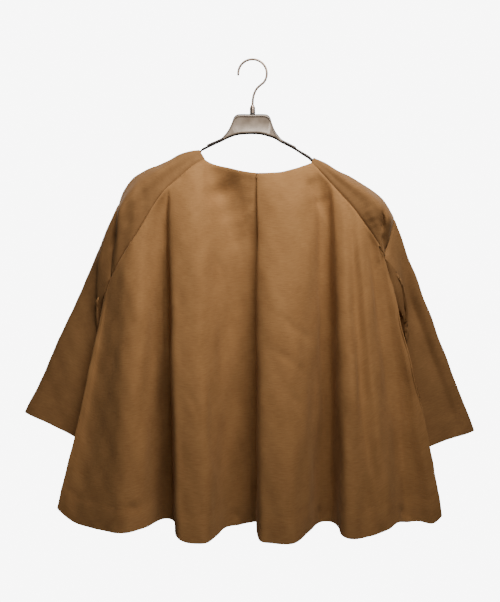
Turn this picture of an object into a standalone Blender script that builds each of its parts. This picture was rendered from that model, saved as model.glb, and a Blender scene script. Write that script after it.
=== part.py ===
"""A short flare coat of felted wool cloth on a moulded hanger, seen from the back.

World axes: +X to the viewer's right of the coat's back, +Y towards its front, +Z up.
The origin is the inside top of the hanger's hook, where a rail would carry it.
The tables and sizes are in millimetres. Each garment piece is a wall of cloth: its outer
face is worked out from the tables, and its thickness goes inwards from there.
"""

import math

import bpy
import numpy as np

MM = 0.001

# --- cloth and mesh ----------------------------------------------------------------------
CLOTH = 2.2  # thickness of the felted wool
SEAM_GAP = 0.4  # clear space between two pieces along a seam
UNDERARM_GAP = 3.0  # and at the point under the arm where four pieces meet
SAME_POINT = 0.01  # grid points in one cell of this size meet at a seam
BODY_PLACES = np.append([0, 0.025, 0.06], np.linspace(0.11, 1, 14))  # mesh rows, edge to hem
ARCH_STEPS = 2  # mesh steps between two control points of an arch over the shoulder
SLEEVE_ROWS = 13

# --- the edges that the body hangs from: underarm, raglan seam, neckline -----------------
# Their columns are name, x, y and z. Rows named corner are kinks.
BACK_EDGE = [
    ("underarm_left", -261, 2, -420),
    ("armhole_left_low", -259.5, -5, -416),
    ("armhole_left", -255, -11, -405),
    ("toe_left", -245, -17, -382),
    ("raglan_left_low", -236, -25, -366),
    ("raglan_left_wide", -220, -33, -339),
    ("raglan_left_mid", -197, -39, -306),
    ("raglan_left_high", -158, -35, -242),
    ("raglan_left_top", -120, -25, -202),
    ("corner_left", -84, -12, -171),
    ("neck_left", -63, -22, -184),
    ("neck_left_inner", -30, -30, -196),
    ("nape", 6, -32, -202),
    ("neck_right_inner", 42, -31, -200),
    ("neck_right", 78, -24, -191),
    ("corner_right", 103, -12, -180),
    ("raglan_right_top", 135, -24, -219),
    ("raglan_right_high", 166, -34, -255),
    ("raglan_right_mid", 191, -39, -290),
    ("raglan_right_wide", 219, -35, -332),
    ("raglan_right_low", 236, -26, -372),
    ("toe_right", 246, -18, -410),
    ("armhole_right", 254, -11, -434),
    ("armhole_right_low", 257.5, -5, -445),
    ("underarm_right", 259, 2, -450),
]
FRONT_EDGE = [
    ("underarm_left", -261, 2, -420),
    ("armhole_left_low", -259.5, 8.5, -416.5),
    ("armhole_left", -255, 13, -407),
    ("toe_left", -245, 17, -386),
    ("raglan_left_wide", -224, 26, -356),
    ("raglan_left_mid", -194, 34, -312),
    ("raglan_left_high", -155, 34, -262),
    ("raglan_left_top", -115, 26, -212),
    ("corner_left", -86, 13, -176),
    ("neck_left", -68, 22, -214),
    ("neck_left_inner", -38, 32, -250),
    ("throat", 6, 36, -268),
    ("neck_right_inner", 50, 34, -254),
    ("neck_right", 84, 23, -222),
    ("corner_right", 105, 13, -184),
    ("raglan_right_top", 131, 26, -224),
    ("raglan_right_high", 164, 34, -277),
    ("raglan_right_mid", 198, 34, -335),
    ("raglan_right_wide", 226, 26, -380),
    ("toe_right", 246, 17, -416),
    ("armhole_right", 254, 13, -437),
    ("armhole_right_low", 257.5, 8.5, -446.5),
    ("underarm_right", 259, 2, -450),
]

# --- fold lines of the body, a row for each crest, flank or hollow -----------------------
# top_x: where the line leaves the edge above. settle_y: its depth once clear of that edge.
# hem_*: where it meets the hem. bow, swell: how far its middle stands off, along X and Y.
# growth: under 1 the fold opens soon below the edge, over 1 it opens near the hem.
FOLD_COLUMNS = ("name", "top_x", "settle_y", "hem_x", "hem_y", "hem_z", "bow", "swell", "growth")
BACK_LEFT = [
    ("side_left", -261, 2, -314, -2, -787, 0, -4, 1.0),
    ("side_turn", -259.2, -5, -333, -3, -782, 2, -6, 1.0),
    ("side_fold", -256.5, -9, -341, -8, -780, 4, -6, 1.0),
    ("side_round", -252, -13, -330, -13, -789, 4, -4, 0.9),
    ("side_hollow", -245, -17, -304, -23, -802, 0, 0, 0.8),
    ("crest_1_outer", -230, -29, -260, -47, -806, 0, -2, 0.8),
    ("crest_1", -213, -38, -218, -64, -807, -2, -4, 0.8),
    ("crest_1_inner", -190, -41, -187, -56, -803, 0, -4, 0.8),
    ("flank_1", -173, -38, -169, -22, -802, 0, 0, 0.8),
    ("hollow_1", -158, -28, -152, 6, -803, 0, 1, 0.8),
    ("under_2", -147, -27, -137, -1, -806, 0, 1, 0.8),
    ("edge_2", -139, -33, -128, -64, -811, -2, -8, 0.9),
    ("crest_2", -124, -38, -110, -74, -819, 0, -8, 0.8),
    ("crest_2_inner", -101, -39, -76, -72, -821, 2, -10, 0.8),
    ("corner_left", -84, -38, -60, -40, -817, 2, -11, 0.9),
    ("flank_2", -64, -31, -45, -10, -814, 2, -8, 0.9),
    ("hollow_2", -38, -26, -24, 4, -813, 0, -8, 0.8),
    ("hollow_2_inner", -14, -26, -3, 8, -811, -2, -7, 0.8),
]
CENTRE_BACK = ("centre_back", 6, -27, 8, 4, -811, -2, -6, 0.9)
BACK_RIGHT = [
    ("edge_3", 10, -30, 9, -66, -817, -2, -10, 1.1),
    ("crest_3", 32, -37, 32, -76, -820, -2, -14, 0.9),
    ("crest_3_inner", 58, -40, 66, -74, -821, 0, -12, 0.9),
    ("flank_3", 82, -38, 92, -43, -815, 0, -12, 0.9),
    ("corner_right", 103, -32, 108, -8, -811, 2, -6, 0.9),
    ("hollow_3", 114, -25, 126, 10, -810, 2, 2, 0.8),
    ("under_4", 130, -24, 144, 4, -811, 2, 2, 0.8),
    ("edge_4", 140, -30, 150, -58, -812, 0, -8, 1.0),
    ("crest_4", 153, -36, 168, -70, -815, 0, -8, 0.8),
    ("dip_4", 166, -38, 198, -57, -814, -1, 0, 0.8),
    ("crest_4_inner", 178, -41, 228, -56, -803, -4, -4, 0.7),
    ("flank_4", 189, -38, 247, -38, -797, -5, -5, 0.7),
    ("hollow_4", 201, -32, 268, -11, -804, -4, 0, 0.7),
    ("crest_5", 215, -33, 290, -8, -804, 0, -4, 0.7),
    ("crest_5_outer", 227, -30, 312, -14, -806, 2, -6, 0.8),
    ("side_round", 240, -22, 328, -14, -794, 4, -8, 0.9),
    ("side_fold", 249, -14, 328, -9, -792, 4, -8, 1.0),
    ("side_turn", 255.5, -8, 318, -1, -795, 2, -5, 1.0),
    ("side_right", 259, 2, 304, 2, -798, 0, -2, 1.0),
]
FRONT_RIGHT = [
    ("side_right", 259, 2, 304, 2, -798, 0, -2, 1.0),
    ("side_front", 255, 12, 282, 6, -801, 0, -2, 1.0),
    ("toe_right", 246, 17, 252, 9, -803, 0, -2, 1.0),
    ("hollow_5", 222, 27, 222, 16, -804, 0, -2, 0.8),
    ("crest_6", 192, 36, 188, 36, -807, 0, 2, 1.0),
    ("crest_6_inner", 166, 36, 156, 34, -808, 0, 2, 1.0),
    ("hollow_6", 134, 27, 122, 23, -808, 0, 2, 0.9),
    ("corner_right", 105, 33, 92, 44, -811, 0, 4, 1.0),
    ("crest_7", 78, 38, 62, 54, -813, 0, 5, 1.0),
    ("inner_right", 42, 37, 34, 44, -812, 0, 5, 1.0),
    ("edge_right", 8, 36, 8, 42, -811, 0, 6, 1.0),
]
FRONT_LEFT = [
    ("edge_left", 4, 36, 4, 42, -811, 0, 6, 1.0),
    ("inner_left", -28, 36, -24, 38, -810, 0, 5, 1.0),
    ("crest_8", -58, 37, -54, 52, -811, 0, 5, 1.0),
    ("corner_left", -86, 33, -84, 40, -810, 0, 4, 1.0),
    ("hollow_8", -122, 28, -114, 12, -807, 0, 0, 0.9),
    ("crest_9", -152, 35, -144, 36, -806, 0, 2, 1.0),
    ("crest_9_inner", -182, 35, -178, 34, -803, 0, 2, 1.0),
    ("hollow_9", -214, 29, -218, 8, -798, 0, -4, 0.8),
    ("toe_left", -245, 17, -258, -6, -796, 0, -4, 1.0),
    ("side_front", -256.5, 11, -288, -6, -792, 0, -4, 1.0),
    ("side_left", -261, 2, -314, -2, -787, 0, -4, 1.0),
]
SETTLE = 0.05  # how soon the cloth settles below its edge, as a share of its length
BACK_STEPS = 1  # mesh columns from one row of a back table to the next
FRONT_STEPS = 2  # the front tables have half as many rows along the raglan seam
ARMHOLE_COLUMNS = 4  # mesh columns from a shoulder's toe to the side seam, sewn to the sleeve

# --- the shoulder pieces: arches from the back raglan seam over the hanger to the front --
# along: share of the length of the raglan seam, from the neck. apex_*: the arch's top, at
# y = 0. back_y, front_y: how far the cloth stands out behind and in front below the top.
ARCH_COLUMNS = ("name", "along", "apex_x", "apex_z", "back_y", "front_y")
SHOULDER_LEFT = [
    ("neck", 0.0, -94, -155, -8, 9),
    ("collarbone", 0.2, -127, -166, -22, 22),
    ("middle", 0.45, -168, -184, -34, 33),
    ("hanger_end", 0.7, -207, -205, -43, 40),
    ("drop", 0.88, -226, -229, -40, 42),
    ("armhole", 1.0, -234, -249, -20, 27),
]
SHOULDER_RIGHT = [
    ("neck", 0.0, 108, -170, -8, 9),
    ("collarbone", 0.2, 138, -186, -22, 22),
    ("middle", 0.45, 178, -209, -34, 33),
    ("hanger_end", 0.7, 218, -234, -46, 40),
    ("drop", 0.88, 238, -257, -42, 42),
    ("armhole", 1.0, 249, -276, -14, 38),
]
SHOULDER_HALF = 13.0  # half width of the round that the hanger gives the shoulder

# --- sleeves: the outer end of each cuff, and the way its opening runs inwards from there -
CUFF_WIDTH = 165.0  # flat width of the sleeve's open end
CUFF_DEPTH = 44.0  # how far that end stands open
CUFF_SQUARE = 2.6  # 2 is an ellipse, more is squarer
CUFF_ARCH = 7.0  # how far the middle of the opening is drawn up
CUFF_LEFT = {"outer": (-409, 42, -620), "inwards": (0.886, 0.0, -0.463)}
CUFF_RIGHT = {"outer": (400, 42, -653), "inwards": (-0.933, 0.0, -0.360)}
SWING_UNDER = 4.0  # over 1 the sleeve swings to the coat's front soon below the armhole,
SWING_OVER = 1.8  # sooner along its underarm than along its outer edge
SPREAD = 22.2  # how far the sleeve stands away from the body below the armhole,
SPREAD_AT = 0.12  # most at this share of its length

# --- the hanger: sections across it, a row for each, from its left arm to its right arm ---
# top_*, low_*: upper and lower end of the section. recess: how far its back face is sunk.
HANGER_COLUMNS = ("name", "top_x", "top_z", "low_x", "low_z", "recess")
HANGER_PANEL = [
    ("arm_left", -87, -153.6, -88.5, -158.2, 0),
    ("step_left", -80, -150, -81, -154.6, 0),
    ("band_left", -79, -147.4, -77, -152.6, 0),
    ("band_left_inner", -67, -142, -65, -146.8, 0),
    ("side_left_low", -55, -136.6, -53, -141.4, 0),
    ("side_left_turn", -49, -130.5, -46, -138, 0.4),
    ("side_left", -42, -121, -38, -134.6, 1.2),
    ("side_left_high", -36, -108, -31, -132.2, 1.5),
    ("top_left_low", -33, -100, -25, -130.8, 1.5),
    ("top_left", -28.5, -95.4, -19, -130, 1.5),
    ("top_left_inner", -22, -94, -14, -129.6, 1.5),
    ("top", -1, -94, -1, -129.2, 1.5),
    ("top_right_inner", 20, -94, 12, -129.8, 1.5),
    ("top_right", 26.5, -95.4, 17, -130.6, 1.5),
    ("top_right_low", 31, -100, 23, -132, 1.5),
    ("side_right_high", 34, -109, 28, -133.6, 1.5),
    ("side_right", 38.5, -121, 33, -135.2, 1.2),
    ("side_right_turn", 44.6, -130.5, 40, -138, 0.4),
    ("side_right_low", 51.6, -138.6, 49, -143.4, 0),
    ("band_right_inner", 63, -144.6, 61, -149.4, 0),
    ("band_right", 76, -151.4, 74, -156.4, 0),
    ("step_right", 77, -154.2, 77.5, -158.8, 0),
    ("arm_right", 99, -167, 97, -171.4, 0),
]
HANGER_DEPTH = 9.0  # from the hanger's back face to its front face
HANGER_ROUND = 4.2  # radius of its rounded edges
RIM_SLOPE = 0.12  # width of the slope from its rim into the recess, as a share of half the recess
ARM_HEIGHT = 9.0
ARM_AT_NECK = 4.8  # height of an arm where it leaves the coat
ARM_TAPER = 26.0  # length of the change from one height to the other
ARM_END_LEFT = -210.0
ARM_END_RIGHT = 219.0
REST_GAP = 0.4  # clear space between an arm and the shoulder that hangs on it

# --- its swivel hook: a ferrule on the panel's top edge, and a wire bent in one plane ------
FERRULE_COLUMNS = ("name", "z", "radius")
FERRULE = [
    ("foot", -93.7, 4.6),
    ("foot_edge", -93.2, 4.9),
    ("body", -83.0, 4.9),
    ("shoulder", -81.5, 4.2),
    ("neck", -78.6, 3.0),
    ("lip", -78.0, 2.6),
]
WIRE = 4.0  # diameter of the hook's wire
HOOK_ROUND = 25.0  # radius of the wire's middle line, so that its inside top is the origin
HOOK_COLUMNS = ("name", "x", "z")
HOOK_STEM = [
    ("bend", 19.6, -38.4),
    ("slope", 13.6, -43.4),
    ("waist", 7.4, -49.6),
    ("stem_high", 3.3, -57.4),
    ("stem_mid", 1, -66),
    ("stem_low", 0, -77.7),
]
HOOK_OPEN_ANGLE = 184.0  # where the round begins at the open end, counted from +X towards +Z
HOOK_STEM_ANGLE = -24.0  # where it ends
ROUND_PIECE = 24  # points round the ferrule and the wire


# --- curves ------------------------------------------------------------------------------
def column(rows, names, name):
    """One named column of a table, as an array."""
    return np.array([row[names.index(name)] for row in rows], float)


def smooth(values, at):
    """The Catmull-Rom curve through values, a knot for each row, at fractional row numbers."""
    values = np.asarray(values, float)
    before = 2 * values[:1] - values[1:2]
    after = 2 * values[-1:] - values[-2:-1]
    knots = np.concatenate([before, values, after])
    first = np.minimum(at.astype(int), len(values) - 2)
    u = (at - first).reshape((-1,) + (1,) * (values.ndim - 1))
    a, b, c, d = (knots[first + i] for i in range(4))
    cubic = 3 * b - a - 3 * c + d
    square = 2 * a - 5 * b + 4 * c - d
    return b + 0.5 * ((c - a) * u + square * u**2 + cubic * u**3)


def row_numbers(count, steps):
    """Fractional row numbers that visit each of count rows, with steps from one to the next."""
    return np.linspace(0, count - 1, (count - 1) * steps + 1)


# --- the body ----------------------------------------------------------------------------
def edge_points(edge, x):
    """Points of the body's top edge at these x, on a smooth curve that is kinked at its corners."""
    points = np.array([row[1:] for row in edge], float)
    kinks = [i for i, row in enumerate(edge) if row[0].startswith("corner")]
    ends = [0, *kinks, len(edge) - 1]
    runs = [smooth(points[a : b + 1], row_numbers(b - a + 1, 24)) for a, b in zip(ends, ends[1:])]
    dense = np.concatenate(runs)
    y, z = (np.interp(x, dense[:, 0], dense[:, axis]) for axis in (1, 2))
    return np.stack([x, y, z], -1)


def curtain(lines, edge, steps):
    """Cloth that falls from an edge to the hem through its fold lines, as a grid [column, row].

    A column is the straight line from its top point to its hem point, plus a bow and a swell
    that are widest half way, 4t(1 - t). Its depth goes from its settled one to the hem's as t
    to the power of its growth, and from the edge's own depth to that as e^(-t / settle).
    """
    at = row_numbers(len(lines), steps)
    fold = {name: smooth(column(lines, FOLD_COLUMNS, name), at)[:, None] for name in FOLD_COLUMNS[1:]}
    top = edge_points(edge, fold["top_x"][:, 0])[:, None, :]
    t = BODY_PLACES[None, :]
    middle = 4 * t * (1 - t)
    x = top[..., 0] + (fold["hem_x"] - top[..., 0]) * t + fold["bow"] * middle
    opening = (fold["hem_y"] - fold["settle_y"]) * t ** fold["growth"]
    from_edge = (top[..., 1] - fold["settle_y"]) * np.exp(-t / SETTLE)
    y = fold["settle_y"] + opening + from_edge + fold["swell"] * middle
    z = top[..., 2] + (fold["hem_z"] - top[..., 2]) * t
    return np.stack([x, y, z], -1)


def body_panels():
    """The outer faces of the two backs and the two fronts. Columns run left, back, right, front."""
    back = curtain([*BACK_LEFT, CENTRE_BACK, *BACK_RIGHT], BACK_EDGE, BACK_STEPS)
    centre = len(BACK_LEFT) * BACK_STEPS
    return {
        "back_left": back[: centre + 1],
        "back_right": back[centre:],
        "front_right": curtain(FRONT_RIGHT, FRONT_EDGE, FRONT_STEPS),
        "front_left": curtain(FRONT_LEFT, FRONT_EDGE, FRONT_STEPS),
    }


def corner_column(lines, steps):
    """The number of the mesh column that hangs from the neck's corner."""
    return [row[0].startswith("corner") for row in lines].index(True) * steps


# --- shoulders and sleeves ---------------------------------------------------------------
def shoulder_piece(back_seam, front_seam, stations):
    """A shoulder as a grid [arch, point on it], and the whole armhole below and over it.

    There is an arch for each point of the raglan seams, from the neck to the shoulder's toe.
    It rises from the back seam while it swells to back_y, turns over the hanger's round at
    its apex, and comes down to the front seam in the same way.
    """
    below_back = back_seam[:-ARMHOLE_COLUMNS-1:-1]
    below_front = front_seam[-ARMHOLE_COLUMNS:]
    back_seam = back_seam[:-ARMHOLE_COLUMNS]
    front_seam = front_seam[:-ARMHOLE_COLUMNS]
    lengths = np.linalg.norm(np.diff(back_seam, axis=0), axis=1)
    along = np.concatenate([[0], np.cumsum(lengths)]) / lengths.sum()
    knots = column(stations, ARCH_COLUMNS, "along")
    at = np.interp(along, knots, np.arange(len(knots)))
    arch = {name: smooth(column(stations, ARCH_COLUMNS, name), at) for name in ARCH_COLUMNS[2:]}
    apex = np.stack([arch["apex_x"], np.zeros(len(along)), arch["apex_z"]], -1)

    def rise(seam, swell_y):
        """An arch's control points on one side, from the seam to just short of the apex."""
        low = seam + (apex - seam) * 0.34
        low[:, 1] = 0.4 * seam[:, 1] + 0.6 * swell_y
        high = seam + (apex - seam) * 0.68
        high[:, 1] = swell_y
        round_off = apex + (seam - apex) * 0.07
        round_off[:, 1] = np.sign(swell_y) * np.minimum(SHOULDER_HALF, 0.7 * np.abs(swell_y))
        return [seam, low, high, round_off]

    controls = [*rise(back_seam, arch["back_y"]), apex, *rise(front_seam, arch["front_y"])[::-1]]
    piece = smooth(np.stack(controls), row_numbers(len(controls), ARCH_STEPS)).transpose(1, 0, 2)
    return piece, np.concatenate([below_back, piece[-1], below_front])


def sleeve_piece(armhole, cuff):
    """A sleeve as a grid [point round it, row]: straight lines from the armhole to the cuff.

    The cuff is a flat oval, |2h - 1|^n + |d|^n = 1, and each of its points is as far up it (h)
    as its armhole point is up the armhole. The depth is reached early, as 1 - (1 - t)^swing.
    Just below the armhole the sleeve stands away from the body by spread * sin(pi h^0.4) * k,
    where k is (t / a) e^(1 - t / a) and a is the share of the length where it is widest.
    """
    apex = len(armhole) // 2
    height = (armhole[:, 2] - armhole[0, 2]) / (armhole[apex, 2] - armhole[0, 2])
    height = np.clip(height, 0, 1)
    side = np.sign(np.arange(len(armhole)) - apex)
    outer = np.array(cuff["outer"], float)
    inwards = np.array(cuff["inwards"]) * CUFF_WIDTH
    ring = outer + inwards * (1 - height)[:, None]
    ring[:, 2] += CUFF_ARCH * (1 - (2 * height - 1) ** 2)
    across = 1 - np.abs(2 * height - 1) ** CUFF_SQUARE
    ring[:, 1] += side * CUFF_DEPTH / 2 * across ** (1 / CUFF_SQUARE)
    t = np.linspace(0, 1, SLEEVE_ROWS)
    swing = SWING_UNDER + (SWING_OVER - SWING_UNDER) * height[:, None]
    straight = np.broadcast_to(t, (len(ring), SLEEVE_ROWS))
    share = np.stack([straight, 1 - (1 - straight) ** swing, straight], -1)
    sleeve = armhole[:, None] + (ring - armhole)[:, None] * share
    early = straight / SPREAD_AT * np.exp(1 - straight / SPREAD_AT)
    spread = SPREAD * np.sin(np.pi * height**0.4)[:, None] * early
    sleeve[..., 0] += np.sign(outer[0]) * spread
    return sleeve


def garment_faces():
    """Every garment piece's outer face as {name: grid}, turned so that row x column points out."""
    faces = body_panels()
    left_back = faces["back_left"][: corner_column(BACK_LEFT, BACK_STEPS) + 1, 0][::-1]
    left_front = faces["front_left"][corner_column(FRONT_LEFT, FRONT_STEPS) :, 0]
    right_back = faces["back_right"][corner_column([CENTRE_BACK, *BACK_RIGHT], BACK_STEPS) :, 0]
    right_front = faces["front_right"][: corner_column(FRONT_RIGHT, FRONT_STEPS) + 1, 0][::-1]
    left, left_armhole = shoulder_piece(left_back, left_front, SHOULDER_LEFT)
    right, right_armhole = shoulder_piece(right_back, right_front, SHOULDER_RIGHT)
    faces["shoulder_left"] = left
    faces["shoulder_right"] = right[::-1]
    faces["sleeve_left"] = sleeve_piece(left_armhole, CUFF_LEFT)[::-1]
    faces["sleeve_right"] = sleeve_piece(right_armhole, CUFF_RIGHT)
    return faces


# --- walls -------------------------------------------------------------------------------
SEWN = {
    "back_left": ("first_column", "last_column", "first_row"),
    "back_right": ("first_column", "last_column", "first_row"),
    "front_left": ("last_column", "first_row"),
    "front_right": ("first_column", "first_row"),
    "shoulder_left": ("last_column", "first_row", "last_row"),
    "shoulder_right": ("first_column", "first_row", "last_row"),
    "sleeve_left": ("first_row",),
    "sleeve_right": ("first_row",),
}
TUBES = ("sleeve_left", "sleeve_right")


def shared_normals(faces):
    """Outward normals of every grid point, with those that meet at a seam made the same."""
    quads = {}
    for name, grid in faces.items():
        across = grid[1:, 1:] - grid[:-1, :-1]
        down = grid[:-1, 1:] - grid[1:, :-1]
        normal = np.cross(down, across)
        normal /= np.maximum(np.linalg.norm(normal, axis=-1, keepdims=True), 1e-9)
        total = np.zeros_like(grid)
        for i in (slice(None, -1), slice(1, None)):
            for j in (slice(None, -1), slice(1, None)):
                total[i, j] += normal
        quads[name] = total
    points = np.concatenate([grid.reshape(-1, 3) for grid in faces.values()])
    totals = np.concatenate([total.reshape(-1, 3) for total in quads.values()])
    cells = np.floor(points / SAME_POINT + 0.37)
    _, place = np.unique(cells, axis=0, return_inverse=True)
    place = place.reshape(-1)
    shared = np.zeros((place.max() + 1, 3))
    np.add.at(shared, place, totals)
    shared /= np.linalg.norm(shared, axis=1, keepdims=True)
    ends = np.cumsum([0] + [grid.shape[0] * grid.shape[1] for grid in faces.values()])
    return {
        name: shared[place[a:b]].reshape(faces[name].shape)
        for name, a, b in zip(faces, ends, ends[1:])
    }


def seam_allowance(grid, normals, sewn):
    """How far each grid point moves so that the sewn edges stand half a seam gap back.

    The gap is measured from the plane that holds the seam and its normal, where the walls on
    both sides are cut. Inner points move square to the seam, end points along the other edge.
    """
    move = np.zeros_like(grid)
    underarms = np.array([BACK_EDGE[0][1:], BACK_EDGE[-1][1:]], float)
    for edge in sewn:
        order = (0, 1, 2) if edge.endswith("column") else (1, 0, 2)
        end, next_in = (0, 1) if edge.startswith("first") else (-1, -2)
        line = grid.transpose(order)[end]
        step = grid.transpose(order)[next_in] - line
        along = np.gradient(line, axis=0)
        along /= np.linalg.norm(along, axis=1, keepdims=True)
        plane = np.cross(along, normals.transpose(order)[end])
        plane /= np.linalg.norm(plane, axis=1, keepdims=True)
        step[1:-1] -= along[1:-1] * (step * along).sum(1, keepdims=True)[1:-1]
        room = np.abs((step * plane).sum(1, keepdims=True))
        to_underarm = np.linalg.norm(line[:, None] - underarms, axis=2).min(1, keepdims=True)
        gap = np.where(to_underarm < SAME_POINT, UNDERARM_GAP, SEAM_GAP)
        move.transpose(order)[end] += step * np.minimum(gap / 2 / room, 0.4)
    return move


def wall_mesh(name, grid, normals):
    """A closed wall of cloth from its outer face: inner face, rims, all as triangles."""
    tube = name in TUBES
    outer = grid + seam_allowance(grid, normals, SEWN[name])
    if tube:
        outer = outer[:-1]
        normals = normals[:-1]
    columns, rows = outer.shape[:2]
    inner = outer - normals * CLOTH
    number = np.arange(columns * rows).reshape(columns, rows)
    if tube:
        number = np.concatenate([number, number[:1]])
    corners = (number[:-1, :-1], number[:-1, 1:], number[1:, 1:], number[1:, :-1])
    a, b, c, d = (corner.reshape(-1) for corner in corners)
    skin = np.concatenate([np.stack([a, b, c], 1), np.stack([a, c, d], 1)])
    back = skin[:, ::-1] + columns * rows
    rims = [number[:, 0], number[::-1, -1]]
    if not tube:
        rims += [number[0, ::-1], number[-1, :]]
    faces = [skin, back]
    for rim in rims:
        near, far = rim[:-1], rim[1:]
        faces.append(np.stack([near, far, far + columns * rows], 1))
        faces.append(np.stack([near, far + columns * rows, near + columns * rows], 1))
    mesh = bpy.data.meshes.new(name)
    points = np.concatenate([outer.reshape(-1, 3), inner.reshape(-1, 3)]) * MM
    mesh.from_pydata(points.tolist(), [], np.concatenate(faces).tolist())
    mesh.validate()
    mesh.shade_smooth()
    mesh.set_sharp_from_angle(angle=math.radians(50))
    return mesh


# --- the hanger --------------------------------------------------------------------------
def swept_mesh(name, rings):
    """A closed solid through rings of points [ring, point], with a flat cap at each end."""
    count, points = rings.shape[:2]
    number = np.arange(count * points).reshape(count, points)
    number = np.concatenate([number, number[:, :1]], 1)
    corners = [number[:-1, :-1], number[:-1, 1:], number[1:, 1:], number[1:, :-1]]
    faces = np.stack([corner.reshape(-1) for corner in corners], 1).tolist()
    faces.append(number[0, -1:0:-1].tolist())
    faces.append(number[-1, :-1].tolist())
    mesh = bpy.data.meshes.new(name)
    mesh.from_pydata((rings.reshape(-1, 3) * MM).tolist(), [], faces)
    mesh.validate()
    mesh.shade_smooth()
    mesh.set_sharp_from_angle(angle=math.radians(40))
    return mesh


def arm_line(shoulder, normals, end_x):
    """The top line of an arm: the shoulder's highest line, seen from inside, as far as end_x."""
    apex = shoulder.shape[1] // 2
    line = (shoulder - normals * (CLOTH + REST_GAP))[:, apex]
    stop = int((np.abs(line[:, 0]) < abs(end_x)).sum())
    share = (end_x - line[stop - 1, 0]) / (line[stop, 0] - line[stop - 1, 0])
    end = line[stop - 1] + (line[stop] - line[stop - 1]) * share
    return np.concatenate([line[:stop], end[None]])[:, ::2]


def arm_sections(top):
    """Upper and lower ends [section, end, (x, z)] of an arm, with a rounded outer end."""
    run = np.gradient(top, axis=0)
    run /= np.linalg.norm(run, axis=1, keepdims=True)
    down = np.stack([run[:, 1], -run[:, 0]], 1)
    down *= -np.sign(down[:, 1:])
    from_neck = np.concatenate([[0], np.cumsum(np.linalg.norm(np.diff(top, axis=0), axis=1))])
    height = ARM_AT_NECK + (ARM_HEIGHT - ARM_AT_NECK) * np.clip(from_neck / ARM_TAPER, 0, 1)
    low = top + down * height[:, None]
    middle = (top[-1] + low[-1]) / 2
    half = height[-1] / 2
    turn = np.radians([30.0, 55.0, 75.0])[:, None]
    ahead = middle + run[-1] * half * np.sin(turn)
    rounded = np.stack([ahead - down[-1] * half * np.cos(turn), ahead + down[-1] * half * np.cos(turn)], 1)
    return np.concatenate([np.stack([top, low], 1), rounded])


def hanger_rings(faces, normals):
    """The hanger's sections as rings of points: rounded oblongs, sunk on the back inside a rim."""
    left = arm_sections(arm_line(faces["shoulder_left"], normals["shoulder_left"], ARM_END_LEFT))
    right = arm_sections(
        arm_line(faces["shoulder_right"][::-1], normals["shoulder_right"][::-1], ARM_END_RIGHT)
    )
    top = np.stack([column(HANGER_PANEL, HANGER_COLUMNS, name) for name in ("top_x", "top_z")], 1)
    low = np.stack([column(HANGER_PANEL, HANGER_COLUMNS, name) for name in ("low_x", "low_z")], 1)
    ends = np.concatenate([left[::-1], np.stack([top, low], 1), right])
    recess = np.zeros(len(ends))
    recess[len(left) : -len(right)] = column(HANGER_PANEL, HANGER_COLUMNS, "recess")
    height = np.linalg.norm(ends[:, 0] - ends[:, 1], axis=1)
    radius = np.minimum(HANGER_ROUND, 0.45 * height)
    turn = np.radians(np.arange(0, 91, 30))
    half = HANGER_DEPTH / 2
    up = []
    depth = []
    for across, along, begin in ((1, 1, 0), (-1, 1, 1), (-1, -1, 2), (1, -1, 3)):
        angle = turn + begin * np.pi / 2
        centre = (height / 2 - radius)[:, None] * along
        up.append(height[:, None] / 2 + centre + radius[:, None] * np.sin(angle))
        depth.append((half - radius)[:, None] * across + radius[:, None] * np.cos(angle))
        if begin == 1:
            rim = radius * 1.05
            wall = RIM_SLOPE * (height / 2 - rim)
            up.append(np.stack([height - rim, height - rim - wall, rim + wall, rim], 1))
            depth.append(-half + np.array([0, 1, 1, 0]) * recess[:, None])
    up = np.concatenate(up, 1)[..., None]
    depth = np.concatenate(depth, 1)
    share = up / height[:, None, None]
    plane = ends[:, 1][:, None] + (ends[:, 0] - ends[:, 1])[:, None] * share
    return np.stack([plane[..., 0], depth, plane[..., 1]], -1)


def round_sections(centres, run, radius):
    """Rings round a line in the plane y = 0: centres and run are (x, z), a radius for each."""
    angle = np.linspace(2 * np.pi, 0, ROUND_PIECE, endpoint=False)
    side = np.stack([-run[:, 1], run[:, 0]], 1)
    across = np.cos(angle)[None, :, None] * side[:, None] * radius[:, None, None]
    depth = np.sin(angle)[None, :] * radius[:, None]
    plane = centres[:, None] + across
    return np.stack([plane[..., 0], depth, plane[..., 1]], -1)


def ferrule_rings():
    z = column(FERRULE, FERRULE_COLUMNS, "z")
    centres = np.stack([np.zeros(len(z)), z], 1)
    run = np.tile([0.0, 1.0], (len(z), 1))
    return round_sections(centres, run, column(FERRULE, FERRULE_COLUMNS, "radius"))


def hook_rings():
    """The wire from its rounded open end over the top, down to the ferrule."""
    turn = np.radians(np.linspace(HOOK_OPEN_ANGLE, HOOK_STEM_ANGLE, 32))
    centre_z = WIRE / 2 - HOOK_ROUND
    arc = np.stack([HOOK_ROUND * np.cos(turn), centre_z + HOOK_ROUND * np.sin(turn)], 1)
    knots = np.stack([column(HOOK_STEM, HOOK_COLUMNS, name) for name in ("x", "z")], 1)
    knots = np.concatenate([arc[-1:], knots])
    stem = smooth(knots, row_numbers(len(knots), 4))
    line = np.concatenate([arc, stem[1:]])
    run = np.gradient(line, axis=0)
    run /= np.linalg.norm(run, axis=1, keepdims=True)
    run[-1] = (0, -1)
    tip = np.radians([75.0, 50.0, 25.0])
    ahead = line[0] - run[0] * (WIRE / 2 * np.sin(tip))[:, None]
    centres = np.concatenate([ahead, line])
    run = np.concatenate([run[:1], run[:1], run[:1], run])
    radius = np.concatenate([WIRE / 2 * np.cos(tip), np.full(len(line), WIRE / 2)])
    return round_sections(centres, run, radius)


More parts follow.
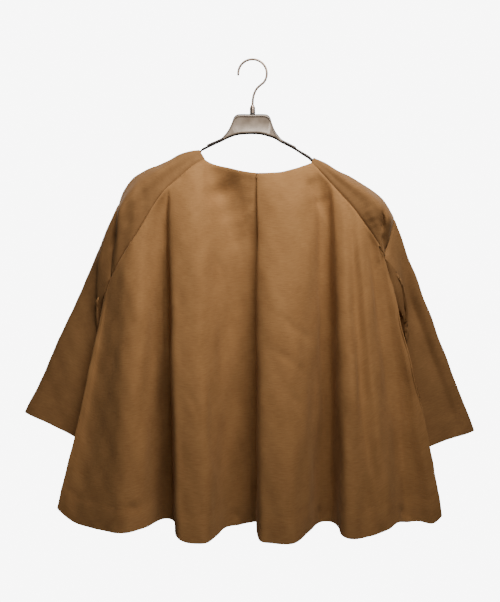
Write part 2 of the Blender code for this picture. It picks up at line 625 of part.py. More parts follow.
# --- materials ---------------------------------------------------------------------------
def material(name, colour, roughness, metallic=0.0):
    """A Principled material with this linear colour."""
    made = bpy.data.materials.new(name)
    made.use_nodes = True
    shader = made.node_tree.nodes["Principled BSDF"]
    shader.inputs["Base Color"].default_value = (*colour, 1)
    shader.inputs["Roughness"].default_value = roughness
    shader.inputs["Metallic"].default_value = metallic
    return made


# --- build -------------------------------------------------------------------------------
def clear_scene():
    for old in list(bpy.data.objects):
        bpy.data.objects.remove(old, do_unlink=True)


def add(name, mesh, finish):
    made = bpy.data.objects.new(name, mesh)
    made.data.materials.append(finish)
    bpy.context.scene.collection.objects.link(made)
    return made


def build():
    clear_scene()
    wool = material("camel_wool", (0.27, 0.15, 0.07), 0.95)
    plastic = material("taupe_plastic", (0.41, 0.34, 0.27), 0.35)
    steel = material("plated_steel", (0.42, 0.39, 0.36), 0.25, metallic=1.0)
    faces = garment_faces()
    normals = shared_normals(faces)
    for name, grid in faces.items():
        add(name, wall_mesh(name, grid, normals[name]), wool)
    add("hanger", swept_mesh("hanger", hanger_rings(faces, normals)), plastic)
    add("hanger_ferrule", swept_mesh("hanger_ferrule", ferrule_rings()), steel)
    add("hanger_hook", swept_mesh("hanger_hook", hook_rings()), steel)


build()
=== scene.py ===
"""A short flare coat of camel wool on a moulded hanger, seen from the back in a plain studio.

World axes: +X to the viewer's right, +Y away from the viewer, +Z up, origin at the inside top
of the hanger's hook. Tables and sizes of the form are in millimetres, and meshes in metres.
"""

import functools
import math

import bpy
import numpy as np
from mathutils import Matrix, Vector


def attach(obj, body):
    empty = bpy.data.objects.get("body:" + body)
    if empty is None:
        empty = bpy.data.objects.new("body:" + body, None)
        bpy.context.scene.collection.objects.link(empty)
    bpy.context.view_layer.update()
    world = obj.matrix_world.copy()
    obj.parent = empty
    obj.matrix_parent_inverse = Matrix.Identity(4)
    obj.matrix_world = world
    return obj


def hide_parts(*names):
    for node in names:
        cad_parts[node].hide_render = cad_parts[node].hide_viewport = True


bl_info = {
    "name": "Flare Coat on Hanger",
    "version": (1, 0, 0),
    "blender": (4, 5, 0),
    "location": "3D View > Sidebar > Flare Coat",
    "description": "Builds a flare coat of wool cloth, its hanger and a plain studio",
    "category": "Object",
}

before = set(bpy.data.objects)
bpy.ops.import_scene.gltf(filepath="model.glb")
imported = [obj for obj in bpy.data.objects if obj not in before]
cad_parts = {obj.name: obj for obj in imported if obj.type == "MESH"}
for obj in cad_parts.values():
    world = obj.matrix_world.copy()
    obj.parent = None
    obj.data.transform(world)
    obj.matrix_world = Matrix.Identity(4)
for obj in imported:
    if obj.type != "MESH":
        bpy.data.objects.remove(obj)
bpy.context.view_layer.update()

MM = 0.001


def linear(hex_colour):
    """An sRGB hex colour as linear red, green, blue and 1."""
    channels = [int(hex_colour[i : i + 2], 16) / 255 for i in (1, 3, 5)]
    return (*[c / 12.92 if c <= 0.04045 else ((c + 0.055) / 1.055) ** 2.4 for c in channels], 1.0)


# --- the body's top edge: underarm, raglan seam, neckline (name, x, y, z) ------------------
BACK_EDGE = [
    ("underarm_left", -261, 2, -420),
    ("armhole_left_low", -259.5, -5, -416),
    ("armhole_left", -255, -11, -405),
    ("toe_left", -245, -17, -382),
    ("raglan_left_low", -236, -25, -366),
    ("raglan_left_wide", -220, -33, -339),
    ("raglan_left_mid", -197, -39, -306),
    ("raglan_left_high", -158, -35, -242),
    ("raglan_left_top", -120, -25, -202),
    ("corner_left", -84, -12, -171),
    ("neck_left", -63, -22, -184),
    ("neck_left_inner", -30, -30, -196),
    ("nape", 6, -32, -202),
    ("neck_right_inner", 42, -31, -200),
    ("neck_right", 78, -24, -191),
    ("corner_right", 103, -12, -180),
    ("raglan_right_top", 135, -24, -219),
    ("raglan_right_high", 166, -34, -255),
    ("raglan_right_mid", 191, -39, -290),
    ("raglan_right_wide", 219, -35, -332),
    ("raglan_right_low", 236, -26, -372),
    ("toe_right", 246, -18, -410),
    ("armhole_right", 254, -11, -434),
    ("armhole_right_low", 257.5, -5, -445),
    ("underarm_right", 259, 2, -450),
]
FRONT_EDGE = [
    ("underarm_left", -261, 2, -420),
    ("armhole_left_low", -259.5, 8.5, -416.5),
    ("armhole_left", -255, 13, -407),
    ("toe_left", -245, 17, -386),
    ("raglan_left_wide", -224, 26, -356),
    ("raglan_left_mid", -194, 34, -312),
    ("raglan_left_high", -155, 34, -262),
    ("raglan_left_top", -115, 26, -212),
    ("corner_left", -86, 13, -176),
    ("neck_left", -68, 22, -214),
    ("neck_left_inner", -38, 32, -250),
    ("throat", 6, 36, -268),
    ("neck_right_inner", 50, 34, -254),
    ("neck_right", 84, 23, -222),
    ("corner_right", 105, 13, -184),
    ("raglan_right_top", 131, 26, -224),
    ("raglan_right_high", 164, 34, -277),
    ("raglan_right_mid", 198, 34, -335),
    ("raglan_right_wide", 226, 26, -380),
    ("toe_right", 246, 17, -416),
    ("armhole_right", 254, 13, -437),
    ("armhole_right_low", 257.5, 8.5, -446.5),
    ("underarm_right", 259, 2, -450),
]

# --- fold lines of the body, a row for each crest, flank or hollow -----------------------
FOLD_COLUMNS = ("name", "top_x", "settle_y", "hem_x", "hem_y", "hem_z", "bow", "swell", "growth")
BACK_LEFT = [
    ("side_left", -261, 2, -314, -2, -787, 0, -4, 1.0),
    ("side_turn", -259.2, -5, -333, -3, -782, 2, -6, 1.0),
    ("side_fold", -256.5, -9, -341, -8, -780, 4, -6, 1.0),
    ("side_round", -252, -13, -330, -13, -789, 4, -4, 0.9),
    ("side_hollow", -245, -17, -304, -23, -802, 0, 0, 0.8),
    ("crest_1_outer", -230, -29, -260, -47, -806, 0, -2, 0.8),
    ("crest_1", -213, -38, -218, -64, -807, -2, -4, 0.8),
    ("crest_1_inner", -190, -41, -187, -56, -803, 0, -4, 0.8),
    ("flank_1", -173, -38, -169, -22, -802, 0, 0, 0.8),
    ("hollow_1", -158, -28, -152, 6, -803, 0, 1, 0.8),
    ("under_2", -147, -27, -137, -1, -806, 0, 1, 0.8),
    ("edge_2", -139, -33, -128, -64, -811, -2, -8, 0.9),
    ("crest_2", -124, -38, -110, -74, -819, 0, -8, 0.8),
    ("crest_2_inner", -101, -39, -76, -72, -821, 2, -10, 0.8),
    ("corner_left", -84, -38, -60, -40, -817, 2, -11, 0.9),
    ("flank_2", -64, -31, -45, -10, -814, 2, -8, 0.9),
    ("hollow_2", -38, -26, -24, 4, -813, 0, -8, 0.8),
    ("hollow_2_inner", -14, -26, -3, 8, -811, -2, -7, 0.8),
]
CENTRE_BACK = ("centre_back", 6, -27, 8, 4, -811, -2, -6, 0.9)
BACK_RIGHT = [
    ("edge_3", 10, -30, 9, -66, -817, -2, -10, 1.1),
    ("crest_3", 32, -37, 32, -76, -820, -2, -14, 0.9),
    ("crest_3_inner", 58, -40, 66, -74, -821, 0, -12, 0.9),
    ("flank_3", 82, -38, 92, -43, -815, 0, -12, 0.9),
    ("corner_right", 103, -32, 108, -8, -811, 2, -6, 0.9),
    ("hollow_3", 114, -25, 126, 10, -810, 2, 2, 0.8),
    ("under_4", 130, -24, 144, 4, -811, 2, 2, 0.8),
    ("edge_4", 140, -30, 150, -58, -812, 0, -8, 1.0),
    ("crest_4", 153, -36, 168, -70, -815, 0, -8, 0.8),
    ("dip_4", 166, -38, 198, -57, -814, -1, 0, 0.8),
    ("crest_4_inner", 178, -41, 228, -56, -803, -4, -4, 0.7),
    ("flank_4", 189, -38, 247, -38, -797, -5, -5, 0.7),
    ("hollow_4", 201, -32, 268, -11, -804, -4, 0, 0.7),
    ("crest_5", 215, -33, 290, -8, -804, 0, -4, 0.7),
    ("crest_5_outer", 227, -30, 312, -14, -806, 2, -6, 0.8),
    ("side_round", 240, -22, 328, -14, -794, 4, -8, 0.9),
    ("side_fold", 249, -14, 328, -9, -792, 4, -8, 1.0),
    ("side_turn", 255.5, -8, 318, -1, -795, 2, -5, 1.0),
    ("side_right", 259, 2, 304, 2, -798, 0, -2, 1.0),
]
FRONT_RIGHT = [
    ("side_right", 259, 2, 304, 2, -798, 0, -2, 1.0),
    ("side_front", 255, 12, 282, 6, -801, 0, -2, 1.0),
    ("toe_right", 246, 17, 252, 9, -803, 0, -2, 1.0),
    ("hollow_5", 222, 27, 222, 16, -804, 0, -2, 0.8),
    ("crest_6", 192, 36, 188, 36, -807, 0, 2, 1.0),
    ("crest_6_inner", 166, 36, 156, 34, -808, 0, 2, 1.0),
    ("hollow_6", 134, 27, 122, 23, -808, 0, 2, 0.9),
    ("corner_right", 105, 33, 92, 44, -811, 0, 4, 1.0),
    ("crest_7", 78, 38, 62, 54, -813, 0, 5, 1.0),
    ("inner_right", 42, 37, 34, 44, -812, 0, 5, 1.0),
    ("edge_right", 8, 36, 8, 42, -811, 0, 6, 1.0),
]
FRONT_LEFT = [
    ("edge_left", 4, 36, 4, 42, -811, 0, 6, 1.0),
    ("inner_left", -28, 36, -24, 38, -810, 0, 5, 1.0),
    ("crest_8", -58, 37, -54, 52, -811, 0, 5, 1.0),
    ("corner_left", -86, 33, -84, 40, -810, 0, 4, 1.0),
    ("hollow_8", -122, 28, -114, 12, -807, 0, 0, 0.9),
    ("crest_9", -152, 35, -144, 36, -806, 0, 2, 1.0),
    ("crest_9_inner", -182, 35, -178, 34, -803, 0, 2, 1.0),
    ("hollow_9", -214, 29, -218, 8, -798, 0, -4, 0.8),
    ("toe_left", -245, 17, -258, -6, -796, 0, -4, 1.0),
    ("side_front", -256.5, 11, -288, -6, -792, 0, -4, 1.0),
    ("side_left", -261, 2, -314, -2, -787, 0, -4, 1.0),
]
SETTLE = 0.05  # how soon the cloth settles below its edge, as a share of its length
BACK_STEPS = 8  # mesh columns from one row of a back table to the next
FRONT_STEPS = 16
ARMHOLE_COLUMNS = 4 * BACK_STEPS  # the columns between a shoulder's toe and the side seam

# --- shoulders: arches over the hanger's arms ---------------------------------------------
ARCH_COLUMNS = ("name", "along", "apex_x", "apex_z", "back_y", "front_y")
SHOULDER_LEFT = [
    ("neck", 0.0, -94, -155, -8, 9),
    ("collarbone", 0.2, -127, -166, -22, 22),
    ("middle", 0.45, -168, -184, -34, 33),
    ("hanger_end", 0.7, -207, -205, -43, 40),
    ("drop", 0.88, -226, -229, -40, 42),
    ("armhole", 1.0, -234, -249, -20, 27),
]
SHOULDER_RIGHT = [
    ("neck", 0.0, 108, -170, -8, 9),
    ("collarbone", 0.2, 138, -186, -22, 22),
    ("middle", 0.45, 178, -209, -34, 33),
    ("hanger_end", 0.7, 218, -234, -46, 40),
    ("drop", 0.88, 238, -257, -42, 42),
    ("armhole", 1.0, 249, -276, -14, 38),
]
SHOULDER_HALF = 13.0
ARCH_STEPS = 9

# --- sleeves ------------------------------------------------------------------------------
CUFF_WIDTH = 165.0
CUFF_DEPTH = 44.0
CUFF_SQUARE = 2.6
CUFF_ARCH = 7.0
CUFF_LEFT = {"outer": (-409, 42, -620), "inwards": (0.886, 0.0, -0.463)}
CUFF_RIGHT = {"outer": (400, 42, -653), "inwards": (-0.933, 0.0, -0.360)}
SWING_UNDER = 4.0
SWING_OVER = 1.8
SPREAD = 22.2
SPREAD_AT = 0.12

# --- small forms of the cloth, on the coat's back and sleeves ------------------------------
# depth: how far the surface moves along its normal, out if positive. left, right: how fast it
# fades to each side. path: its line (x, z), from the top down.
CREASE_COLUMNS = ("name", "depth", "left", "right", "path")
BACK_CREASES = [
    ("lobe_1_side_hollow", -3, 22, 24, ((-205, -350), (-228, -440), (-256, -540), (-278, -650), (-304, -750))),
    ("lobe_1_ridge", 5, 22, 14, ((-200, -330), (-192, -460), (-205, -620), (-222, -780))),
    ("valley_1_rib", 2.2, 4, 4, ((-158, -300), (-157, -420), (-156, -560))),
    ("valley_1_head", 2.5, 9, 9, ((-154, -236), (-152, -290), (-150, -350), (-148, -430))),
    ("shoulder_left_dip", -1.6, 9, 8, ((-214, -236), (-216, -290), (-222, -335))),
    ("shoulder_left_rib", 2.6, 7, 6, ((-199, -222), (-198, -262), (-205, -310))),
    ("shoulder_left_dip_2", -1.3, 8, 7, ((-186, -222), (-184, -250), (-188, -276))),
    ("sleeve_left_slit", -4, 3, 5, ((-236, -276), (-240, -310), (-247, -342))),
    ("sleeve_left_valley", -3, 14, 14, ((-258, -310), (-275, -380), (-300, -480), (-316, -580))),
    ("nape_hollow_left", -15, 22, 26, ((-80, -168), (-64, -212), (-46, -252), (-32, -306))),
    ("centre_left_hollow", -6, 18, 30, ((-38, -262), (-30, -400), (-24, -600), (-20, -780))),
    ("nape_hollow_right", -7, 9, 16, ((98, -206), (110, -236), (120, -262))),
    ("centre_pucker_1", 1.6, 3, 3, ((-24, -222), (-8, -226), (4, -228))),
    ("centre_pucker_2", 1.4, 3, 3, ((-18, -238), (-6, -241), (4, -242))),
    ("centre_pucker_3", 1.8, 4, 3, ((-24, -288), (-8, -270), (4, -258))),
    ("lobe_3_wrinkle_1", -1.6, 7, 5, ((42, -440), (70, -466), (100, -486))),
    ("lobe_3_wrinkle_2", -1.4, 6, 5, ((30, -500), (56, -514), (86, -540))),
    ("lobe_3_wrinkle_3", -1.2, 6, 5, ((60, -560), (76, -592), (82, -640))),
    ("lobe_2_wrinkle_1", -1.2, 7, 6, ((-112, -560), (-92, -600), (-84, -650))),
    ("lobe_2_wrinkle_2", -1.2, 6, 6, ((-70, -330), (-52, -370), (-40, -420))),
    ("lobe_4_ridge", 3.5, 10, 8, ((163, -400), (166, -503), (167, -586), (182, -670), (203, -753), (214, -790))),
    ("side_right_hollow", -9, 9, 32, ((220, -360), (234, -440), (246, -540), (258, -650), (272, -790))),
    ("sleeve_right_valley", -8, 18, 9, ((250, -300), (281, -414), (317, -515), (345, -589), (362, -640))),
    ("shoulder_right_bulge", 3.5, 12, 8, ((188, -252), (202, -272), (210, -296))),
    ("armhole_right_pocket", -7, 4.5, 4, ((223, -264), (221, -288), (225, -312), (231, -337))),
    ("hem_dent_1", -2.0, 8, 7, ((-208, -764), (-196, -768), (-184, -766))),
    ("hem_dent_2", -2.5, 5, 5, ((-32, -784), (-26, -800), (-22, -812))),
    ("hem_dent_3", -2.5, 6, 5, ((116, -780), (120, -795), (124, -808))),
    ("hem_dent_4", -2.0, 5, 5, ((256, -776), (260, -788), (262, -798))),
]
FRONT_CREASES = [
    ("front_left_hollow", -6, 18, 22, ((-196, -400), (-210, -520), (-224, -700))),
    ("front_left_rib", 3, 14, 10, ((-96, -330), (-92, -480), (-88, -640))),
    ("front_left_wrinkle", -1.4, 7, 6, ((-70, -420), (-48, -450), (-30, -486))),
    ("front_right_hollow", -6, 20, 18, ((190, -420), (204, -540), (214, -700))),
    ("front_right_rib", 3, 10, 14, ((110, -340), (104, -480), (96, -650))),
    ("front_right_wrinkle", -1.4, 7, 6, ((88, -470), (70, -500), (56, -540))),
    ("front_sleeve_left", -5, 10, 9, ((-262, -330), (-290, -430), (-330, -560))),
    ("front_sleeve_right", -5, 9, 10, ((266, -350), (292, -450), (330, -580))),
]
UNEVEN_WAVES = [  # a soft irregular wave: length along x, length along z, phase, height
    (97.0, 310.0, 0.4, 0.8),
    (61.0, -190.0, 1.9, 0.5),
    (-43.0, 140.0, 3.1, 0.35),
    (29.0, 83.0, 5.0, 0.2),
]

SAME_POINT = 0.01
FINE = np.array([0.0, 0.0025, 0.005, 0.008, 0.012, 0.017])
BODY_PLACES = np.concatenate([FINE, np.linspace(0.026, 0.975, 92), 1 - FINE[::-1] * 0.8])
SLEEVE_PLACES = np.concatenate([FINE * 1.5, np.linspace(0.04, 0.975, 66), 1 - FINE[::-1]])
RIM_STEPS = 3  # mesh steps round the fold of a hem, neckline or cuff


# --- curves -------------------------------------------------------------------------------
def column(rows, names, name):
    """One named column of a table, as an array."""
    return np.array([row[names.index(name)] for row in rows], float)


def smooth(values, at):
    """The Catmull-Rom curve through values, a knot for each row, at fractional row numbers."""
    values = np.asarray(values, float)
    before = 2 * values[:1] - values[1:2]
    after = 2 * values[-1:] - values[-2:-1]
    knots = np.concatenate([before, values, after])
    first = np.minimum(at.astype(int), len(values) - 2)
    u = (at - first).reshape((-1,) + (1,) * (values.ndim - 1))
    a, b, c, d = (knots[first + i] for i in range(4))
    cubic = 3 * b - a - 3 * c + d
    square = 2 * a - 5 * b + 4 * c - d
    return b + 0.5 * ((c - a) * u + square * u**2 + cubic * u**3)


def row_numbers(count, steps):
    """Fractional row numbers that visit each of count rows, with steps from one to the next."""
    return np.linspace(0, count - 1, (count - 1) * steps + 1)


# --- the body -----------------------------------------------------------------------------
def edge_points(edge, x):
    """Points of the body's top edge at these x, on a smooth curve that is kinked at its corners."""
    points = np.array([row[1:] for row in edge], float)
    kinks = [i for i, row in enumerate(edge) if row[0].startswith("corner")]
    ends = [0, *kinks, len(edge) - 1]
    runs = [smooth(points[a : b + 1], row_numbers(b - a + 1, 24)) for a, b in zip(ends, ends[1:])]
    dense = np.concatenate(runs)
    y, z = (np.interp(x, dense[:, 0], dense[:, axis]) for axis in (1, 2))
    return np.stack([x, y, z], -1)


def curtain(lines, edge, steps):
    """Cloth that falls from an edge to the hem through its fold lines, as a grid [column, row].

    A column is the straight line from its top point to its hem point, plus a bow and a swell
    that are widest half way, 4t(1 - t). Its depth goes from its settled one to the hem's as t
    to the power of its growth, and from the edge's own depth to that as e^(-t / settle).
    """
    at = row_numbers(len(lines), steps)
    fold = {name: smooth(column(lines, FOLD_COLUMNS, name), at)[:, None] for name in FOLD_COLUMNS[1:]}
    top = edge_points(edge, fold["top_x"][:, 0])[:, None, :]
    t = BODY_PLACES[None, :]
    middle = 4 * t * (1 - t)
    x = top[..., 0] + (fold["hem_x"] - top[..., 0]) * t + fold["bow"] * middle
    opening = (fold["hem_y"] - fold["settle_y"]) * t ** fold["growth"]
    from_edge = (top[..., 1] - fold["settle_y"]) * np.exp(-t / SETTLE)
    y = fold["settle_y"] + opening + from_edge + fold["swell"] * middle
    z = top[..., 2] + (fold["hem_z"] - top[..., 2]) * t
    return np.stack([x, y, z], -1)


def corner_column(lines, steps):
    """The number of the mesh column that hangs from the neck's corner."""
    return [row[0].startswith("corner") for row in lines].index(True) * steps


# --- shoulders and sleeves ----------------------------------------------------------------
def shoulder_piece(back_seam, front_seam, stations):
    """A shoulder as a grid [arch, point on it], and the whole armhole below and over it.

    There is an arch for each point of the raglan seams, from the neck to the shoulder's toe.
    It rises from the back seam while it swells to back_y, turns over the hanger's round at
    its apex, and comes down to the front seam in the same way.
    """
    below_back = back_seam[: -ARMHOLE_COLUMNS - 1 : -1]
    below_front = front_seam[-ARMHOLE_COLUMNS:]
    back_seam = back_seam[:-ARMHOLE_COLUMNS]
    front_seam = front_seam[:-ARMHOLE_COLUMNS]
    lengths = np.linalg.norm(np.diff(back_seam, axis=0), axis=1)
    along = np.concatenate([[0], np.cumsum(lengths)]) / lengths.sum()
    knots = column(stations, ARCH_COLUMNS, "along")
    at = np.interp(along, knots, np.arange(len(knots)))
    arch = {name: smooth(column(stations, ARCH_COLUMNS, name), at) for name in ARCH_COLUMNS[2:]}
    apex = np.stack([arch["apex_x"], np.zeros(len(along)), arch["apex_z"]], -1)

    def rise(seam, swell_y):
        """An arch's control points on one side, from the seam to just short of the apex."""
        low = seam + (apex - seam) * 0.34
        low[:, 1] = 0.4 * seam[:, 1] + 0.6 * swell_y
        high = seam + (apex - seam) * 0.68
        high[:, 1] = swell_y
        round_off = apex + (seam - apex) * 0.07
        round_off[:, 1] = np.sign(swell_y) * np.minimum(SHOULDER_HALF, 0.7 * np.abs(swell_y))
        return [seam, low, high, round_off]

    controls = [*rise(back_seam, arch["back_y"]), apex, *rise(front_seam, arch["front_y"])[::-1]]
    last = len(controls) - 1
    near_seam = np.array([0.03, 0.06, 0.1, 0.16])
    at = np.unique(np.concatenate([row_numbers(last + 1, ARCH_STEPS), near_seam, last - near_seam]))
    piece = smooth(np.stack(controls), at).transpose(1, 0, 2)
    return piece, np.concatenate([below_back, piece[-1], below_front])


def sleeve_piece(armhole, cuff):
    """A sleeve as a grid [point round it, row]: straight lines from the armhole to the cuff.

    The cuff is a flat oval, |2h - 1|^n + |d|^n = 1, and each of its points is as far up it (h)
    as its armhole point is up the armhole. The depth is reached early, as 1 - (1 - t)^swing.
    Just below the armhole the sleeve stands away from the body by spread * sin(pi h^0.6) * k,
    where k is (t / a) e^(1 - t / a) and a is the share of the length where it is widest.
    """
    apex = len(armhole) // 2
    height = (armhole[:, 2] - armhole[0, 2]) / (armhole[apex, 2] - armhole[0, 2])
    height = np.clip(height, 0, 1)
    side = np.sign(np.arange(len(armhole)) - apex)
    outer = np.array(cuff["outer"], float)
    inwards = np.array(cuff["inwards"]) * CUFF_WIDTH
    ring = outer + inwards * (1 - height)[:, None]
    ring[:, 2] += CUFF_ARCH * (1 - (2 * height - 1) ** 2)
    across = 1 - np.abs(2 * height - 1) ** CUFF_SQUARE
    ring[:, 1] += side * CUFF_DEPTH / 2 * across ** (1 / CUFF_SQUARE)
    swing = SWING_UNDER + (SWING_OVER - SWING_UNDER) * height[:, None]
    straight = np.broadcast_to(SLEEVE_PLACES, (len(ring), len(SLEEVE_PLACES)))
    share = np.stack([straight, 1 - (1 - straight) ** swing, straight], -1)
    sleeve = armhole[:, None] + (ring - armhole)[:, None] * share
    early = straight / SPREAD_AT * np.exp(1 - straight / SPREAD_AT)
    spread = SPREAD * np.sin(np.pi * height**0.6)[:, None] * early
    sleeve[..., 0] += np.sign(outer[0]) * spread
    return sleeve


# --- all garment pieces -------------------------------------------------------------------
SEWN = {
    "back_left": ("first_column", "last_column", "first_row"),
    "back_right": ("first_column", "last_column", "first_row"),
    "front_left": ("last_column", "first_row"),
    "front_right": ("first_column", "first_row"),
    "shoulder_left": ("last_column", "first_row", "last_row"),
    "shoulder_right": ("first_column", "first_row", "last_row"),
    "sleeve_left": ("first_row",),
    "sleeve_right": ("first_row",),
}
OPEN_EDGES = {  # folded edges: hem, neckline, cuffs, and where the fronts meet
    "back_left": ("last_row",),
    "back_right": ("last_row",),
    "front_left": ("first_column", "last_row"),
    "front_right": ("last_column", "last_row"),
    "shoulder_left": ("first_column",),
    "shoulder_right": ("last_column",),
    "sleeve_left": ("last_row",),
    "sleeve_right": ("last_row",),
}
TUBES = ("sleeve_left", "sleeve_right")


def garment_faces():
    """Every garment piece's outer face as {name: grid}, turned so that row x column points out."""
    back = curtain([*BACK_LEFT, CENTRE_BACK, *BACK_RIGHT], BACK_EDGE, BACK_STEPS)
    centre = len(BACK_LEFT) * BACK_STEPS
    faces = {
        "back_left": back[: centre + 1],
        "back_right": back[centre:],
        "front_right": curtain(FRONT_RIGHT, FRONT_EDGE, FRONT_STEPS),
        "front_left": curtain(FRONT_LEFT, FRONT_EDGE, FRONT_STEPS),
    }
    left_back = faces["back_left"][: corner_column(BACK_LEFT, BACK_STEPS) + 1, 0][::-1]
    left_front = faces["front_left"][corner_column(FRONT_LEFT, FRONT_STEPS) :, 0]
    right_back = faces["back_right"][corner_column([CENTRE_BACK, *BACK_RIGHT], BACK_STEPS) :, 0]
    right_front = faces["front_right"][: corner_column(FRONT_RIGHT, FRONT_STEPS) + 1, 0][::-1]
    left, left_armhole = shoulder_piece(left_back, left_front, SHOULDER_LEFT)
    right, right_armhole = shoulder_piece(right_back, right_front, SHOULDER_RIGHT)
    faces["shoulder_left"] = left
    faces["shoulder_right"] = right[::-1]
    faces["sleeve_left"] = sleeve_piece(left_armhole, CUFF_LEFT)[::-1]
    faces["sleeve_right"] = sleeve_piece(right_armhole, CUFF_RIGHT)
    return faces


def shared_normals(faces):
    """Outward normals of every grid point, with those that meet at a seam made the same."""
    quads = {}
    for name, grid in faces.items():
        across = grid[1:, 1:] - grid[:-1, :-1]
        down = grid[:-1, 1:] - grid[1:, :-1]
        normal = np.cross(down, across)
        normal /= np.maximum(np.linalg.norm(normal, axis=-1, keepdims=True), 1e-9)
        total = np.zeros_like(grid)
        for i in (slice(None, -1), slice(1, None)):
            for j in (slice(None, -1), slice(1, None)):
                total[i, j] += normal
        quads[name] = total
    points = np.concatenate([grid.reshape(-1, 3) for grid in faces.values()])
    totals = np.concatenate([total.reshape(-1, 3) for total in quads.values()])
    cells = np.floor(points / SAME_POINT + 0.37)
    _, place = np.unique(cells, axis=0, return_inverse=True)
    place = place.reshape(-1)
    shared = np.zeros((place.max() + 1, 3))
    np.add.at(shared, place, totals)
    shared /= np.maximum(np.linalg.norm(shared, axis=1, keepdims=True), 1e-9)
    ends = np.cumsum([0] + [grid.shape[0] * grid.shape[1] for grid in faces.values()])
    return {
        name: shared[place[a:b]].reshape(faces[name].shape)
        for name, a, b in zip(faces, ends, ends[1:])
    }


# --- small forms --------------------------------------------------------------------------
def crease_depth(points, crease):
    """How far one crease moves each point: depth * e^-(d/w)^2 * f.

    d is the distance from its path seen from the front, w its fade on that side, and f rises
    and falls along the path as the sine's root, with a slow waver that keeps it uneven.
    """
    _, depth, left, right, path = crease
    path = np.array(path, float)
    runs = np.linalg.norm(np.diff(path, axis=0), axis=1)
    starts = np.concatenate([[0], np.cumsum(runs)])
    seen = points[..., [0, 2]]
    nearest = np.full(seen.shape[:-1], np.inf)
    side = np.zeros(seen.shape[:-1])
    along = np.zeros(seen.shape[:-1])
    for begin, end, run, start in zip(path, path[1:], runs, starts):
        step = (end - begin) / run
        offset = seen - begin
        t = np.clip((offset * step).sum(-1), 0, run)
        away = offset - t[..., None] * step
        distance = np.linalg.norm(away, axis=-1)
        closer = distance < nearest
        nearest = np.where(closer, distance, nearest)
        side = np.where(closer, away[..., 0] * step[1] - away[..., 1] * step[0], side)
        along = np.where(closer, (start + t) / starts[-1], along)
    width = np.where(side > 0, left, right)
    waver = 1 + 0.22 * np.sin(9.0 * along + depth) + 0.12 * np.sin(23.0 * along + left)
    fade = np.sqrt(np.clip(np.sin(np.pi * np.clip(along, 0.02, 0.98)), 0, 1))
    return depth * waver * fade * np.exp(-((nearest / width) ** 2))


def small_forms(points, normals):
    """The creases of the side that a point faces, plus a soft irregular wave all over."""
    facing = np.clip(0.5 - 1.6 * normals[..., 1], 0, 1)
    moved = np.zeros(points.shape[:-1])
    for crease in BACK_CREASES:
        moved += facing * crease_depth(points, crease)
    for crease in FRONT_CREASES:
        moved += (1 - facing) * crease_depth(points, crease)
    for along_x, along_z, phase, height in UNEVEN_WAVES:
        wave = points[..., 0] / along_x + points[..., 2] / along_z + points[..., 1] / 80
        moved += height * np.sin(2 * np.pi * wave + phase)
    return moved


def edge_distance(grid, edge):
    """The distance of each grid point from one edge, measured along the grid's lines."""
    axis = 0 if edge.endswith("column") else 1
    lengths = np.linalg.norm(np.diff(grid, axis=axis), axis=2)
    if edge.startswith("last"):
        lengths = np.flip(lengths, axis)
    start = np.zeros_like(lengths[:1] if axis == 0 else lengths[:, :1])
    distance = np.cumsum(np.concatenate([start, lengths], axis), axis)
    return np.flip(distance, axis) if edge.startswith("last") else distance


def sewing(name, grid, cloth):
    """How far sewing moves the surface: seams draw it in, hems have a faint line of blind stitches.

    A seam is -s e^-(d/w)^2 at distance d, with a low swell of the allowance beside it.
    """
    moved = np.zeros(grid.shape[:2])
    for edge in SEWN[name]:
        d = edge_distance(grid, edge)
        moved -= cloth.seam_depth / MM * np.exp(-((d / 2.2) ** 2))
        moved += 0.25 * np.exp(-(((d - 7.0) / 4.0) ** 2))
    hems = [edge for edge in OPEN_EDGES[name] if edge == "last_row"]
    for edge in hems:
        d = edge_distance(grid, edge)
        moved -= 0.35 * np.exp(-(((d - cloth.hem / MM) / 2.5) ** 2))
        moved += 0.35 / (1 + np.exp((d - cloth.hem / MM) / 2.0))
    return moved


@functools.cache
def garment():
    """Outer faces and shared normals of all pieces, with creases and sewing, computed once."""
    cloth = bpy.context.scene.coat_cloth
    faces = garment_faces()
    normals = shared_normals(faces)
    moved = {}
    for name, grid in faces.items():
        depth = small_forms(grid, normals[name]) + sewing(name, grid, cloth)
        moved[name] = grid + normals[name] * depth[..., None]
    return moved, shared_normals(moved)


# --- meshes -------------------------------------------------------------------------------
def cloth_lengths(grid):
    """How far each point lies across the cloth from its middle column, and up from the hem."""
    across = edge_distance(grid, "first_column")
    across = across - across[len(grid) // 2]
    up = edge_distance(grid, "last_row")
    return np.stack([across, up], -1) * MM


def mesh_object(name, points, quads, uv, finishes, finish_numbers=None):
    """A mesh object at the origin from points in millimetres, quads and a UV for each point."""
    mesh = bpy.data.meshes.new(name)
    mesh.vertices.add(len(points))
    mesh.vertices.foreach_set("co", (points * MM).astype(np.float32).ravel())
    mesh.loops.add(quads.size)
    mesh.loops.foreach_set("vertex_index", quads.astype(np.int32).ravel())
    mesh.polygons.add(len(quads))
    mesh.polygons.foreach_set("loop_start", np.arange(0, quads.size, 4, dtype=np.int32))
    mesh.polygons.foreach_set("use_smooth", np.ones(len(quads), bool))
    if finish_numbers is not None:
        mesh.polygons.foreach_set("material_index", finish_numbers.astype(np.int32))
    layer = mesh.uv_layers.new(name="cloth")
    layer.data.foreach_set("uv", uv[quads.ravel()].astype(np.float32).ravel())
    mesh.update(calc_edges=True)
    mesh.validate()
    for finish in finishes:
        mesh.materials.append(finish)
    made = bpy.data.objects.new(name, mesh)
    bpy.context.scene.collection.objects.link(made)
    return made


